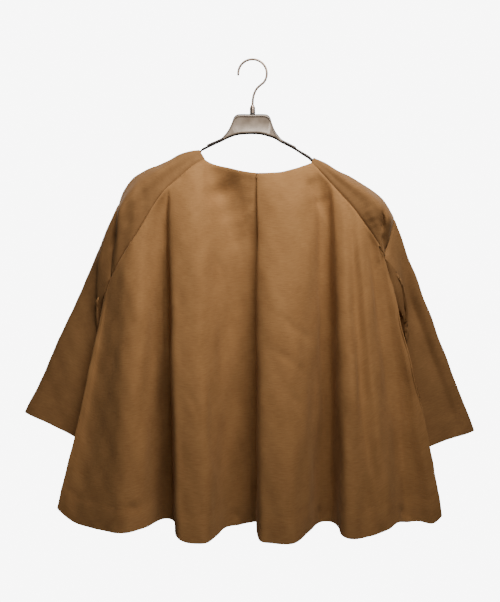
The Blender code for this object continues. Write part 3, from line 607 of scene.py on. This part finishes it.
def cloth_wall(name, node, thickness, gap, finish):
    """A closed wall of cloth: outer face, inner face, and rims that are rounded at folds.

    The rim of an edge is a row of arcs, outer + (inner - outer)(1 - cos a)/2 + r sin(a) beyond
    the edge, where r is half the thickness at a fold and nothing at a seam.
    """
    faces, normals = garment()
    outer, normal = faces[node], normals[node]
    tube = node in TUBES
    outer = outer + seam_allowance(outer, normal, SEWN[node], gap)
    inner = outer - normal * thickness
    uv = cloth_lengths(outer)
    if tube:
        outer, inner, uv = outer[:-1], inner[:-1], uv[:-1]
    count = outer.shape[0] * outer.shape[1]
    number = np.arange(count).reshape(outer.shape[:2])
    if tube:
        number = np.concatenate([number, number[:1]])
    corners = (number[:-1, :-1], number[:-1, 1:], number[1:, 1:], number[1:, :-1])
    skin = np.stack([corner.ravel() for corner in corners], 1)
    quads = [skin, skin[:, ::-1] + count]
    points = [outer.reshape(-1, 3), inner.reshape(-1, 3)]
    places = [uv.reshape(-1, 2), uv.reshape(-1, 2)]
    total = 2 * count
    rims = [("first_row", number[:, 0]), ("last_row", number[::-1, -1])]
    if not tube:
        rims += [("first_column", number[0, ::-1]), ("last_column", number[-1, :])]
    flat_outer, flat_inner = points[0], points[1]
    flat_uv = places[0]
    for edge, rim in rims:
        round_it = edge in OPEN_EDGES[node] or (edge == "first_row" and edge not in SEWN[node])
        beyond = edge_direction(outer, edge, rim, number, tube) * (thickness / 2 if round_it else 0)
        turn = np.linspace(0, np.pi, RIM_STEPS + 2)[1:-1]
        rows = [rim]
        for angle in turn:
            middle = flat_outer[rim] + (flat_inner[rim] - flat_outer[rim]) * (1 - math.cos(angle)) / 2
            points.append(middle + beyond * math.sin(angle))
            places.append(flat_uv[rim])
            rows.append(np.arange(total, total + len(rim)))
            total += len(rim)
        rows.append(rim + count)
        for near, far in zip(rows, rows[1:]):
            quads.append(np.stack([near[:-1], near[1:], far[1:], far[:-1]], 1))
    return mesh_object(
        name, np.concatenate(points), np.concatenate(quads), np.concatenate(places), [finish]
    )


def edge_direction(outer, edge, rim, number, tube):
    """Unit vectors that point out of the cloth beyond one of its edges, for the points of its rim."""
    order = (0, 1, 2) if edge.endswith("column") else (1, 0, 2)
    end, next_in = (0, 1) if edge.startswith("first") else (-1, -2)
    lines = outer.transpose(order)
    out = lines[end] - lines[next_in]
    out = out / np.maximum(np.linalg.norm(out, axis=1, keepdims=True), 1e-9)
    if tube:
        out = np.concatenate([out, out[:1]])
    return out[::-1] if edge in ("last_row", "first_column") else out


def seam_allowance(grid, normals, sewn, gap):
    """How far each grid point moves so that the sewn edges stand half a gap back."""
    move = np.zeros_like(grid)
    for edge in sewn:
        order = (0, 1, 2) if edge.endswith("column") else (1, 0, 2)
        end, next_in = (0, 1) if edge.startswith("first") else (-1, -2)
        line = grid.transpose(order)[end]
        step = grid.transpose(order)[next_in] - line
        room = np.maximum(np.linalg.norm(step, axis=1, keepdims=True), 1e-6)
        move.transpose(order)[end] += step * np.minimum(gap / 2 / room, 0.4)
    return move


# --- materials ----------------------------------------------------------------------------
def add_node(tree, kind, settings=(), **links):
    """Adds a node, sets its own settings and inputs, and links inputs given as sockets."""
    made = tree.nodes.new(kind)
    for key, value in dict(settings).items():
        setattr(made, key, value)
    for key, value in links.items():
        socket = made.inputs[int(key[1:])] if key[1:].isdigit() else made.inputs[key.replace("_", " ")]
        if isinstance(value, bpy.types.NodeSocket):
            tree.links.new(value, socket)
        else:
            socket.default_value = value
    return made


def new_material(name):
    """An empty material with its Principled shader, and the shader and tree to work on."""
    made = bpy.data.materials.new(name)
    made.use_nodes = True
    tree = made.node_tree
    return made, tree, tree.nodes["Principled BSDF"]


@functools.cache
def wool(name, shade):
    """Brushed wool flannel, milled and raised: a matt nap that lies across the coat in fine
    streaks, a slight sheen at glancing angles, and a colour that is mottled as fleece is.
    Its shade scales the colour down: on the shoulders and sleeves it is painted shade that makes them darker than
    the body."""
    cloth = bpy.context.scene.coat_cloth
    made, tree, shader = new_material(name)
    place = add_node(tree, "ShaderNodeUVMap", {"uv_map": "cloth"}).outputs[0]
    # Streaks of the nap, real ones about 0.3 x 6 mm, drawn about 1.6 x 14 mm so that they show.
    streak_place = add_node(tree, "ShaderNodeMapping", Vector=place, Scale=(70.0, 620.0, 1.0))
    streaks = add_node(
        tree, "ShaderNodeTexNoise", Vector=streak_place.outputs[0], Scale=1.0, Detail=3.0, Roughness=0.6
    )
    # Loose fibre ends, about 0.8 mm apart.
    fuzz = add_node(tree, "ShaderNodeTexNoise", Vector=place, Scale=1300.0, Detail=2.0, Roughness=0.6)
    # Uneven milling, in patches of 20 to 60 mm.
    patches = add_node(tree, "ShaderNodeTexNoise", Vector=place, Scale=26.0, Detail=3.0, Roughness=0.55)
    tone = add_node(tree, "ShaderNodeMath", {"operation": "MULTIPLY_ADD"}, i0=streaks.outputs[0], i1=0.5, i2=0.0)
    tone = add_node(
        tree, "ShaderNodeMath", {"operation": "MULTIPLY_ADD"}, i0=patches.outputs[0], i1=0.35, i2=tone.outputs[0]
    )
    tone = add_node(
        tree, "ShaderNodeMath", {"operation": "MULTIPLY_ADD"}, i0=fuzz.outputs[0], i1=0.15, i2=tone.outputs[0]
    )
    ramp = add_node(tree, "ShaderNodeValToRGB", Fac=tone.outputs[0])
    ramp.color_ramp.elements[0].position = 0.3
    ramp.color_ramp.elements[0].color = [c * shade for c in cloth.shade_colour[:3]] + [1.0]
    ramp.color_ramp.elements[1].position = 0.7
    ramp.color_ramp.elements[1].color = [c * shade for c in cloth.light_colour[:3]] + [1.0]
    tree.links.new(ramp.outputs[0], shader.inputs["Base Color"])
    height = add_node(
        tree, "ShaderNodeMath", {"operation": "MULTIPLY_ADD"}, i0=fuzz.outputs[0], i1=0.5, i2=streaks.outputs[0]
    )
    bump = add_node(tree, "ShaderNodeBump", Strength=0.28, Distance=0.0008, Height=height.outputs[0])
    tree.links.new(bump.outputs[0], shader.inputs["Normal"])
    shader.inputs["Roughness"].default_value = 0.88
    shader.inputs["Specular IOR Level"].default_value = 0.25
    shader.inputs["Sheen Weight"].default_value = 0.12
    shader.inputs["Sheen Roughness"].default_value = 0.45
    shader.inputs["Sheen Tint"].default_value = linear("#d8b48c")
    return made


@functools.cache
def taupe_plastic():
    """Injection-moulded ABS with a satin champagne lacquer, faintly cloudy."""
    hanger = bpy.context.scene.coat_hanger
    made, tree, shader = new_material("champagne_lacquered_plastic")
    place = add_node(tree, "ShaderNodeTexCoord").outputs["Object"]
    # Lacquer clouds of about 15 mm.
    clouds = add_node(tree, "ShaderNodeTexNoise", Vector=place, Scale=65.0, Detail=2.0, Roughness=0.5)
    ramp = add_node(tree, "ShaderNodeValToRGB", Fac=clouds.outputs[0])
    ramp.color_ramp.elements[0].position = 0.3
    ramp.color_ramp.elements[0].color = linear("#6f655b")
    ramp.color_ramp.elements[1].position = 0.7
    ramp.color_ramp.elements[1].color = hanger.panel_colour
    tree.links.new(ramp.outputs[0], shader.inputs["Base Color"])
    # Orange peel of the lacquer, about 1 mm.
    peel = add_node(tree, "ShaderNodeTexNoise", Vector=place, Scale=900.0, Detail=1.0)
    bump = add_node(tree, "ShaderNodeBump", Strength=0.05, Distance=0.0004, Height=peel.outputs[0])
    tree.links.new(bump.outputs[0], shader.inputs["Normal"])
    shader.inputs["Roughness"].default_value = 0.32
    return made


@functools.cache
def painted_rim_shade():
    """Black-brown plastic with a little wear: on the moulding's rounded edges it is painted shade for their dark
    outline, and it covers both arms all over.
    """
    made, tree, shader = new_material("painted_rim_shade_plastic")
    place = add_node(tree, "ShaderNodeTexCoord").outputs["Object"]
    # Scuffs of about 3 mm, lighter than the plastic.
    wear = add_node(tree, "ShaderNodeTexNoise", Vector=place, Scale=320.0, Detail=3.0, Roughness=0.6)
    ramp = add_node(tree, "ShaderNodeValToRGB", Fac=wear.outputs[0])
    ramp.color_ramp.elements[0].position = 0.45
    ramp.color_ramp.elements[0].color = linear("#1d1714")
    ramp.color_ramp.elements[1].position = 0.8
    ramp.color_ramp.elements[1].color = linear("#4a3f38")
    tree.links.new(ramp.outputs[0], shader.inputs["Base Color"])
    shader.inputs["Roughness"].default_value = 0.4
    return made


@functools.cache
def plated_steel():
    """Drawn steel wire, nickel plated: bright metal with faint handling marks."""
    hanger = bpy.context.scene.coat_hanger
    made, tree, shader = new_material("nickel_plated_steel")
    place = add_node(tree, "ShaderNodeTexCoord").outputs["Object"]
    # Handling marks of about 2 mm.
    marks = add_node(tree, "ShaderNodeTexNoise", Vector=place, Scale=500.0, Detail=3.0, Roughness=0.6)
    ramp = add_node(tree, "ShaderNodeValToRGB", Fac=marks.outputs[0])
    ramp.color_ramp.elements[0].position = 0.35
    ramp.color_ramp.elements[0].color = linear("#7d7068")
    ramp.color_ramp.elements[1].position = 0.7
    ramp.color_ramp.elements[1].color = hanger.metal_colour
    tree.links.new(ramp.outputs[0], shader.inputs["Base Color"])
    rough = add_node(tree, "ShaderNodeMapRange", Value=marks.outputs[0])
    rough.inputs["To Min"].default_value = 0.28
    rough.inputs["To Max"].default_value = 0.42
    tree.links.new(rough.outputs[0], shader.inputs["Roughness"])
    shader.inputs["Metallic"].default_value = 1.0
    return made


# --- the hanger ---------------------------------------------------------------------------
HANGER_COLUMNS = ("name", "top_x", "top_z", "low_x", "low_z", "recess")
HANGER_PANEL = [
    ("arm_left", -87, -153.6, -88.5, -158.2, 0),
    ("step_left", -80, -150, -81, -154.6, 0),
    ("band_left", -79, -147.4, -77, -152.6, 0),
    ("band_left_inner", -67, -142, -65, -146.8, 0),
    ("side_left_low", -55, -136.6, -53, -141.4, 0),
    ("side_left_turn", -49, -130.5, -46, -138, 0.4),
    ("side_left", -42, -121, -38, -134.6, 1.2),
    ("side_left_high", -36, -108, -31, -132.2, 1.5),
    ("top_left_low", -33, -100, -25, -130.8, 1.5),
    ("top_left", -28.5, -95.4, -19, -130, 1.5),
    ("top_left_inner", -22, -94, -14, -129.6, 1.5),
    ("top", -1, -94, -1, -129.2, 1.5),
    ("top_right_inner", 20, -94, 12, -129.8, 1.5),
    ("top_right", 26.5, -95.4, 17, -130.6, 1.5),
    ("top_right_low", 31, -100, 23, -132, 1.5),
    ("side_right_high", 34, -109, 28, -133.6, 1.5),
    ("side_right", 38.5, -121, 33, -135.2, 1.2),
    ("side_right_turn", 44.6, -130.5, 40, -138, 0.4),
    ("side_right_low", 51.6, -138.6, 49, -143.4, 0),
    ("band_right_inner", 63, -144.6, 61, -149.4, 0),
    ("band_right", 76, -151.4, 74, -156.4, 0),
    ("step_right", 77, -154.2, 77.5, -158.8, 0),
    ("arm_right", 99, -167, 97, -171.4, 0),
]
HANGER_DEPTH = 9.0
HANGER_ROUND = 4.2
RIM_SLOPE = 0.12
ARM_HEIGHT = 9.0
ARM_AT_NECK = 4.8
ARM_TAPER = 26.0
ARM_END_LEFT = -210.0
ARM_END_RIGHT = 219.0
REST_GAP = 0.8
FERRULE_COLUMNS = ("name", "z", "radius")
FERRULE = [
    ("foot", -93.7, 4.6),
    ("foot_edge", -93.2, 4.9),
    ("body", -83.0, 4.9),
    ("shoulder", -81.5, 4.2),
    ("neck", -78.6, 3.0),
    ("lip", -78.0, 2.6),
]
HOOK_ROUND = 25.0
HOOK_COLUMNS = ("name", "x", "z")
HOOK_STEM = [
    ("bend", 19.6, -38.4),
    ("slope", 13.6, -43.4),
    ("waist", 7.4, -49.6),
    ("stem_high", 3.3, -57.4),
    ("stem_mid", 1, -66),
    ("stem_low", 0, -77.7),
]
HOOK_OPEN_ANGLE = 184.0
HOOK_STEM_ANGLE = -24.0
ROUND_PIECE = 32


def swept_object(name, rings, finishes, finish_of_point=None):
    """A closed solid through rings of points [ring, point], each end closed by a small cone."""
    count, points = rings.shape[:2]
    number = np.arange(count * points).reshape(count, points)
    number = np.concatenate([number, number[:, :1]], 1)
    corners = (number[:-1, :-1], number[:-1, 1:], number[1:, 1:], number[1:, :-1])
    quads = np.stack([corner.ravel() for corner in corners], 1)
    first, last = count * points, count * points + 1
    starts = np.stack([number[0, 1:], number[0, :-1], np.full(points, first), np.full(points, first)], 1)
    ends = np.stack([number[-1, :-1], number[-1, 1:], np.full(points, last), np.full(points, last)], 1)
    flat = np.concatenate([rings.reshape(-1, 3), rings[:1].mean(1), rings[-1:].mean(1)])
    faces = [*quads.tolist(), *starts[:, :3].tolist(), *ends[:, :3].tolist()]
    mesh = bpy.data.meshes.new(name)
    mesh.from_pydata((flat * MM).tolist(), [], faces)
    mesh.validate()
    mesh.shade_smooth()
    mesh.set_sharp_from_angle(angle=math.radians(35))
    for finish in finishes:
        mesh.materials.append(finish)
    if finish_of_point is not None:
        chosen = np.concatenate([np.asarray(finish_of_point).ravel(), np.zeros(2 * points, int)])
        mesh.polygons.foreach_set("material_index", chosen.astype(np.int32))
    made = bpy.data.objects.new(name, mesh)
    bpy.context.scene.collection.objects.link(made)
    return made


def arm_line(shoulder, normals, end_x):
    """The top line of an arm: the shoulder's highest line, seen from inside, as far as end_x."""
    thickness = bpy.context.scene.coat_cloth.thickness / MM
    apex = shoulder.shape[1] // 2
    line = (shoulder - normals * (thickness + REST_GAP))[:, apex]
    stop = int((np.abs(line[:, 0]) < abs(end_x)).sum())
    return line[: stop + 1, ::2][::4]


def arm_sections(top):
    """Upper and lower ends [section, end, (x, z)] of an arm, with a rounded outer end."""
    run = np.gradient(top, axis=0)
    run /= np.linalg.norm(run, axis=1, keepdims=True)
    down = np.stack([run[:, 1], -run[:, 0]], 1)
    down *= -np.sign(down[:, 1:])
    from_neck = np.concatenate([[0], np.cumsum(np.linalg.norm(np.diff(top, axis=0), axis=1))])
    height = ARM_AT_NECK + (ARM_HEIGHT - ARM_AT_NECK) * np.clip(from_neck / ARM_TAPER, 0, 1)
    low = top + down * height[:, None]
    middle = (top[-1] + low[-1]) / 2
    half = height[-1] / 2
    turn = np.radians([20.0, 40.0, 58.0, 74.0, 86.0])[:, None]
    ahead = middle + run[-1] * half * np.sin(turn)
    rounded = np.stack([ahead - down[-1] * half * np.cos(turn), ahead + down[-1] * half * np.cos(turn)], 1)
    return np.concatenate([np.stack([top, low], 1), rounded])


def hanger_sections():
    """All sections from the left arm's end to the right one's: ends, recess, and which are panel."""
    faces, normals = garment()
    left = arm_sections(arm_line(faces["shoulder_left"], normals["shoulder_left"], ARM_END_LEFT))
    right = arm_sections(
        arm_line(faces["shoulder_right"][::-1], normals["shoulder_right"][::-1], ARM_END_RIGHT)
    )
    at = row_numbers(len(HANGER_PANEL), 5)
    values = {name: smooth(column(HANGER_PANEL, HANGER_COLUMNS, name), at) for name in HANGER_COLUMNS[1:]}
    top = np.stack([values["top_x"], values["top_z"]], 1)
    low = np.stack([values["low_x"], values["low_z"]], 1)
    ends = np.concatenate([left[::-1], np.stack([top, low], 1), right])
    recess = np.zeros(len(ends))
    recess[len(left) : -len(right)] = np.clip(values["recess"], 0, None)
    panel = np.zeros(len(ends), bool)
    panel[len(left) : -len(right)] = (at > 4.2) & (at < 18.2)
    return ends, recess, panel


def hanger_rings():
    """The hanger's sections as rings of points: rounded oblongs, sunk on the back inside a rim."""
    ends, recess, panel = hanger_sections()
    height = np.linalg.norm(ends[:, 0] - ends[:, 1], axis=1)
    radius = np.minimum(HANGER_ROUND, 0.45 * height)
    turn = np.radians(np.linspace(0, 90, 7))
    half = HANGER_DEPTH / 2
    up, depth, edge = [], [], []
    for across, along, begin in ((1, 1, 0), (-1, 1, 1), (-1, -1, 2), (1, -1, 3)):
        angle = turn + begin * np.pi / 2
        centre = (height / 2 - radius)[:, None] * along
        up.append(height[:, None] / 2 + centre + radius[:, None] * np.sin(angle))
        depth.append((half - radius)[:, None] * across + radius[:, None] * np.cos(angle))
        # Faces on the rounded edges take the dark plastic: painted shade.
        edge.append(np.abs(np.sin(angle)) > 0.3)
        if begin == 1:
            rim = radius * 1.05
            wall = RIM_SLOPE * (height / 2 - rim)
            steps = np.array([0, 0.35, 0.65, 1])
            sunk = np.array([0, 0.16, 0.84, 1])
            down = height[:, None] - rim[:, None] - wall[:, None] * steps
            rise = rim[:, None] + wall[:, None] * steps[::-1]
            up.append(np.concatenate([down, rise], 1))
            depth.append(-half + np.concatenate([sunk, sunk[::-1]]) * recess[:, None])
            edge.append(np.zeros(8, bool))
    up = np.concatenate(up, 1)
    depth = np.concatenate(depth, 1)
    share = (up / height[:, None])[..., None]
    plane = ends[:, 1][:, None] + (ends[:, 0] - ends[:, 1])[:, None] * share
    rings = np.stack([plane[..., 0], depth, plane[..., 1]], -1)
    # Dark plastic on the rounded edges, as painted shade, and on all of the arms.
    dark = np.concatenate(edge)[None, :] | ~panel[:, None]
    return rings, dark[:-1]


def round_sections(centres, run, radius):
    """Rings round a line in the plane y = 0: centres and run are (x, z), a radius for each."""
    angle = np.linspace(2 * np.pi, 0, ROUND_PIECE, endpoint=False)
    side = np.stack([-run[:, 1], run[:, 0]], 1)
    across = np.cos(angle)[None, :, None] * side[:, None] * radius[:, None, None]
    depth = np.sin(angle)[None, :] * radius[:, None]
    plane = centres[:, None] + across
    return np.stack([plane[..., 0], depth, plane[..., 1]], -1)


def ferrule_rings():
    """The ferrule as rings up its axis, with a fine groove below its shoulder."""
    z = column(FERRULE, FERRULE_COLUMNS, "z")
    radius = column(FERRULE, FERRULE_COLUMNS, "radius")
    fine = np.linspace(z[0], z[-1], 60)
    wide = np.interp(fine, z, radius) - 0.35 * np.exp(-(((fine + 85.0) / 0.5) ** 2))
    centres = np.stack([np.zeros(len(fine)), fine], 1)
    return round_sections(centres, np.tile([0.0, 1.0], (len(fine), 1)), wide)


def hook_rings(wire):
    """The wire from its rounded open end over the top, down to the ferrule."""
    turn = np.radians(np.linspace(HOOK_OPEN_ANGLE, HOOK_STEM_ANGLE, 72))
    centre_z = wire / 2 - HOOK_ROUND
    arc = np.stack([HOOK_ROUND * np.cos(turn), centre_z + HOOK_ROUND * np.sin(turn)], 1)
    knots = np.stack([column(HOOK_STEM, HOOK_COLUMNS, name) for name in ("x", "z")], 1)
    knots = np.concatenate([arc[-1:], knots])
    stem = smooth(knots, row_numbers(len(knots), 10))
    line = np.concatenate([arc, stem[1:]])
    run = np.gradient(line, axis=0)
    run /= np.linalg.norm(run, axis=1, keepdims=True)
    run[-1] = (0, -1)
    tip = np.radians([85.0, 70.0, 50.0, 30.0, 14.0])
    ahead = line[0] - run[0] * (wire / 2 * np.sin(tip))[:, None]
    centres = np.concatenate([ahead, line])
    run = np.concatenate([np.repeat(run[:1], len(tip), 0), run])
    radius = np.concatenate([wire / 2 * np.cos(tip), np.full(len(line), wire / 2)])
    return round_sections(centres, run, radius)


# --- settings -----------------------------------------------------------------------------
class CoatCloth(bpy.types.PropertyGroup):
    """Sizes and colours of the coat's cloth."""

    thickness: bpy.props.FloatProperty(
        name="Thickness", description="Thickness of the wool cloth", default=0.0022, unit="LENGTH"
    )
    seam_gap: bpy.props.FloatProperty(
        name="Seam gap", description="Clear space between two sewn pieces", default=0.00012, unit="LENGTH"
    )
    seam_depth: bpy.props.FloatProperty(
        name="Seam depth", description="How far a seam draws the cloth in", default=0.001, unit="LENGTH"
    )
    hem: bpy.props.FloatProperty(
        name="Hem", description="Width of the turned-up hem", default=0.042, unit="LENGTH"
    )
    # Painted shade: the shoulders and sleeves take a copy of the body's wool darkened by this factor.
    cross_cut_painted_shade: bpy.props.FloatProperty(
        name="Cross-cut painted shade", description="How light the shoulders and sleeves look beside the body",
        default=0.72, subtype="FACTOR", min=0.0, max=1.0,
    )
    light_colour: bpy.props.FloatVectorProperty(
        name="Light fibres", description="Colour of the lighter wool fibres", subtype="COLOR", size=4,
        default=linear("#957148"),
    )
    shade_colour: bpy.props.FloatVectorProperty(
        name="Dark fibres", description="Colour of the darker wool fibres", subtype="COLOR", size=4,
        default=linear("#7a5834"),
    )


class CoatHanger(bpy.types.PropertyGroup):
    """Sizes and colours of the hanger."""

    wire: bpy.props.FloatProperty(
        name="Hook wire", description="Diameter of the hook's wire", default=0.004, unit="LENGTH"
    )
    panel_colour: bpy.props.FloatVectorProperty(
        name="Panel", description="Colour of the moulded panel", subtype="COLOR", size=4,
        default=linear("#8a8076"),
    )
    metal_colour: bpy.props.FloatVectorProperty(
        name="Metal", description="Colour of the plated hook", subtype="COLOR", size=4,
        default=linear("#9a8c82"),
    )


class CoatStage(bpy.types.PropertyGroup):
    """The studio: camera, lights and floor."""

    key_power: bpy.props.FloatProperty(
        name="Key light", description="Power of the soft spotlight at the upper right", default=165.0, unit="POWER"
    )
    fill_power: bpy.props.FloatProperty(
        name="Fill light", description="Power of the weak light at the left", default=1.5, unit="POWER"
    )
    rear_power: bpy.props.FloatProperty(
        name="Rear light", description="Power of the light on the coat's front", default=60.0, unit="POWER"
    )
    surround: bpy.props.FloatProperty(
        name="Surround", description="Brightness of the pale surround as a light", default=0.03
    )
    floor_drop: bpy.props.FloatProperty(
        name="Floor", description="Height of the floor", default=-1.6, unit="LENGTH"
    )


def sew(*nodes):
    """Makes the cloth pieces that stand for these nodes."""
    cloth = bpy.context.scene.coat_cloth
    for node in nodes:
        # The shoulders and sleeves get a darker copy of the wool: painted shade.
        gets_painted_shade = node.startswith(("shoulder", "sleeve"))
        finish = wool("camel_wool_flannel", 1.0)
        if gets_painted_shade:
            finish = wool("camel_wool_flannel_painted_shade", cloth.cross_cut_painted_shade)
        piece = cloth_wall("cloth_" + node, node, cloth.thickness / MM, cloth.seam_gap / MM, finish)
        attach(piece, "root")
        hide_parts(node)


class COAT_OT_backs(bpy.types.Operator):
    """Make the two back panels, sewn down the centre back."""

    bl_idname = "coat.backs"
    bl_label = "Back panels"

    def execute(self, context):
        sew("back_left", "back_right")
        return {"FINISHED"}


class COAT_OT_fronts(bpy.types.Operator):
    """Make the two fronts, which meet edge to edge."""

    bl_idname = "coat.fronts"
    bl_label = "Fronts"

    def execute(self, context):
        sew("front_left", "front_right")
        return {"FINISHED"}


class COAT_OT_shoulders(bpy.types.Operator):
    """Make the shoulder pieces over the hanger's arms."""

    bl_idname = "coat.shoulders"
    bl_label = "Shoulders"

    def execute(self, context):
        sew("shoulder_left", "shoulder_right")
        return {"FINISHED"}


class COAT_OT_sleeves(bpy.types.Operator):
    """Make the two wide sleeves."""

    bl_idname = "coat.sleeves"
    bl_label = "Sleeves"

    def execute(self, context):
        sew("sleeve_left", "sleeve_right")
        return {"FINISHED"}


class COAT_OT_hanger(bpy.types.Operator):
    """Make the moulded hanger with its sunk panel, and dark plastic on its edges as painted shade."""

    bl_idname = "coat.hanger"
    bl_label = "Hanger"

    def execute(self, context):
        rings, dark = hanger_rings()
        body = swept_object("hanger_moulding", rings, [taupe_plastic(), painted_rim_shade()], dark)
        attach(body, "root")
        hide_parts("hanger")
        return {"FINISHED"}


class COAT_OT_hook(bpy.types.Operator):
    """Make the ferrule and the wire hook."""

    bl_idname = "coat.hook"
    bl_label = "Hook"

    def execute(self, context):
        wire = context.scene.coat_hanger.wire / MM
        for name, node, rings in (
            ("plated_ferrule", "hanger_ferrule", ferrule_rings()),
            ("wire_hook", "hanger_hook", hook_rings(wire)),
        ):
            piece = swept_object(name, rings, [plated_steel()])
            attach(piece, "root")
            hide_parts(node)
        return {"FINISHED"}


def light(name, kind, place, target, power, settings):
    """A soft light of this kind at a place, turned to a target, both in metres."""
    data = bpy.data.lights.new(name, kind)
    data.energy = power
    for key, value in settings.items():
        setattr(data, key, value)
    made = bpy.data.objects.new(name, data)
    made.location = place
    aim = Vector(target) - Vector(place)
    made.rotation_euler = aim.to_track_quat("-Z", "Y").to_euler()
    bpy.context.scene.collection.objects.link(made)
    return made


class COAT_OT_stage(bpy.types.Operator):
    """Make the floor, the pale surround, the lights and the camera."""

    bl_idname = "coat.stage"
    bl_label = "Studio"

    def execute(self, context):
        stage = context.scene.coat_stage
        turn = np.linspace(0, 2 * np.pi, 97)[:-1]
        rim = np.stack([0.68 * np.cos(turn), 0.68 * np.sin(turn), np.full(96, stage.floor_drop)], 1)
        mesh = bpy.data.meshes.new("floor")
        mesh.from_pydata(rim.tolist(), [], [list(range(96))])
        made, tree, shader = new_material("pale_studio_floor")
        place = add_node(tree, "ShaderNodeTexCoord").outputs["Object"]
        mottle = add_node(tree, "ShaderNodeTexNoise", Vector=place, Scale=9.0, Detail=3.0)
        ramp = add_node(tree, "ShaderNodeValToRGB", Fac=mottle.outputs[0])
        ramp.color_ramp.elements[0].color = linear("#e6e4e1")
        ramp.color_ramp.elements[1].color = linear("#f0efed")
        tree.links.new(ramp.outputs[0], shader.inputs["Base Color"])
        shader.inputs["Roughness"].default_value = 0.9
        mesh.materials.append(made)
        floor = bpy.data.objects.new("floor", mesh)
        context.scene.collection.objects.link(floor)

        world = bpy.data.worlds.new("pale_surround")
        context.scene.world = world
        world.use_nodes = True
        tree = world.node_tree
        background = tree.nodes["Background"]
        background.inputs["Color"].default_value = linear("#ffffff")
        background.inputs["Strength"].default_value = stage.surround
        shown = add_node(tree, "ShaderNodeBackground", Color=linear("#ffffff"), Strength=8.0)
        seen = add_node(tree, "ShaderNodeLightPath").outputs["Is Camera Ray"]
        mix = add_node(tree, "ShaderNodeMixShader", Fac=seen, i1=background.outputs[0], i2=shown.outputs[0])
        tree.links.new(mix.outputs[0], tree.nodes["World Output"].inputs[0])

        middle = (0.0, 0.0, -0.40)
        warm = linear("#fff3e6")[:3]
        beam = {"spot_size": math.radians(76), "spot_blend": 1.0, "shadow_soft_size": 0.45, "color": warm}
        wide = {"shape": "RECTANGLE", "size": 3.6, "size_y": 1.6}
        light("key", "SPOT", (0.24, -0.70, 0.60), (0.0, 0.0, -0.20), stage.key_power, beam)
        light("fill", "AREA", (-1.5, -1.3, -0.2), middle, stage.fill_power, {"size": 1.2})
        light("rear", "AREA", (0.0, 1.3, 0.3), middle, stage.rear_power, wide)

        data = bpy.data.cameras.new("camera")
        data.lens = 44.42
        data.sensor_width = 36.0
        data.clip_start = 0.05
        camera = bpy.data.objects.new("camera", data)
        camera.location = (-0.0044, -1.3, -0.421)
        camera.rotation_euler = (math.pi / 2, 0.0, 0.0)
        context.scene.collection.objects.link(camera)
        context.scene.camera = camera
        return {"FINISHED"}


class COAT_PT_panel(bpy.types.Panel):
    """The coat's sizes and the steps that build it."""

    bl_idname = "COAT_PT_panel"
    bl_label = "Flare Coat"
    bl_space_type = "VIEW_3D"
    bl_region_type = "UI"
    bl_category = "Flare Coat"

    def draw(self, context):
        scene = context.scene
        for group in (scene.coat_cloth, scene.coat_hanger, scene.coat_stage):
            box = self.layout.box()
            for name in group.__annotations__:
                box.prop(group, name)
        for step in STEPS:
            self.layout.operator(step.bl_idname)


STEPS = (
    COAT_OT_stage,
    COAT_OT_backs,
    COAT_OT_fronts,
    COAT_OT_shoulders,
    COAT_OT_sleeves,
    COAT_OT_hanger,
    COAT_OT_hook,
)
CLASSES = (CoatCloth, CoatHanger, CoatStage, *STEPS, COAT_PT_panel)
GROUPS = {"coat_cloth": CoatCloth, "coat_hanger": CoatHanger, "coat_stage": CoatStage}


def register():
    for made in CLASSES:
        bpy.utils.register_class(made)
    for name, group in GROUPS.items():
        setattr(bpy.types.Scene, name, bpy.props.PointerProperty(type=group))


def unregister():
    for name in GROUPS:
        delattr(bpy.types.Scene, name)
    for made in reversed(CLASSES):
        bpy.utils.unregister_class(made)


def main():
    register()
    for step in STEPS:
        group, name = step.bl_idname.split(".")
        getattr(getattr(bpy.ops, group), name)()


if __name__ == "__main__":
    main()
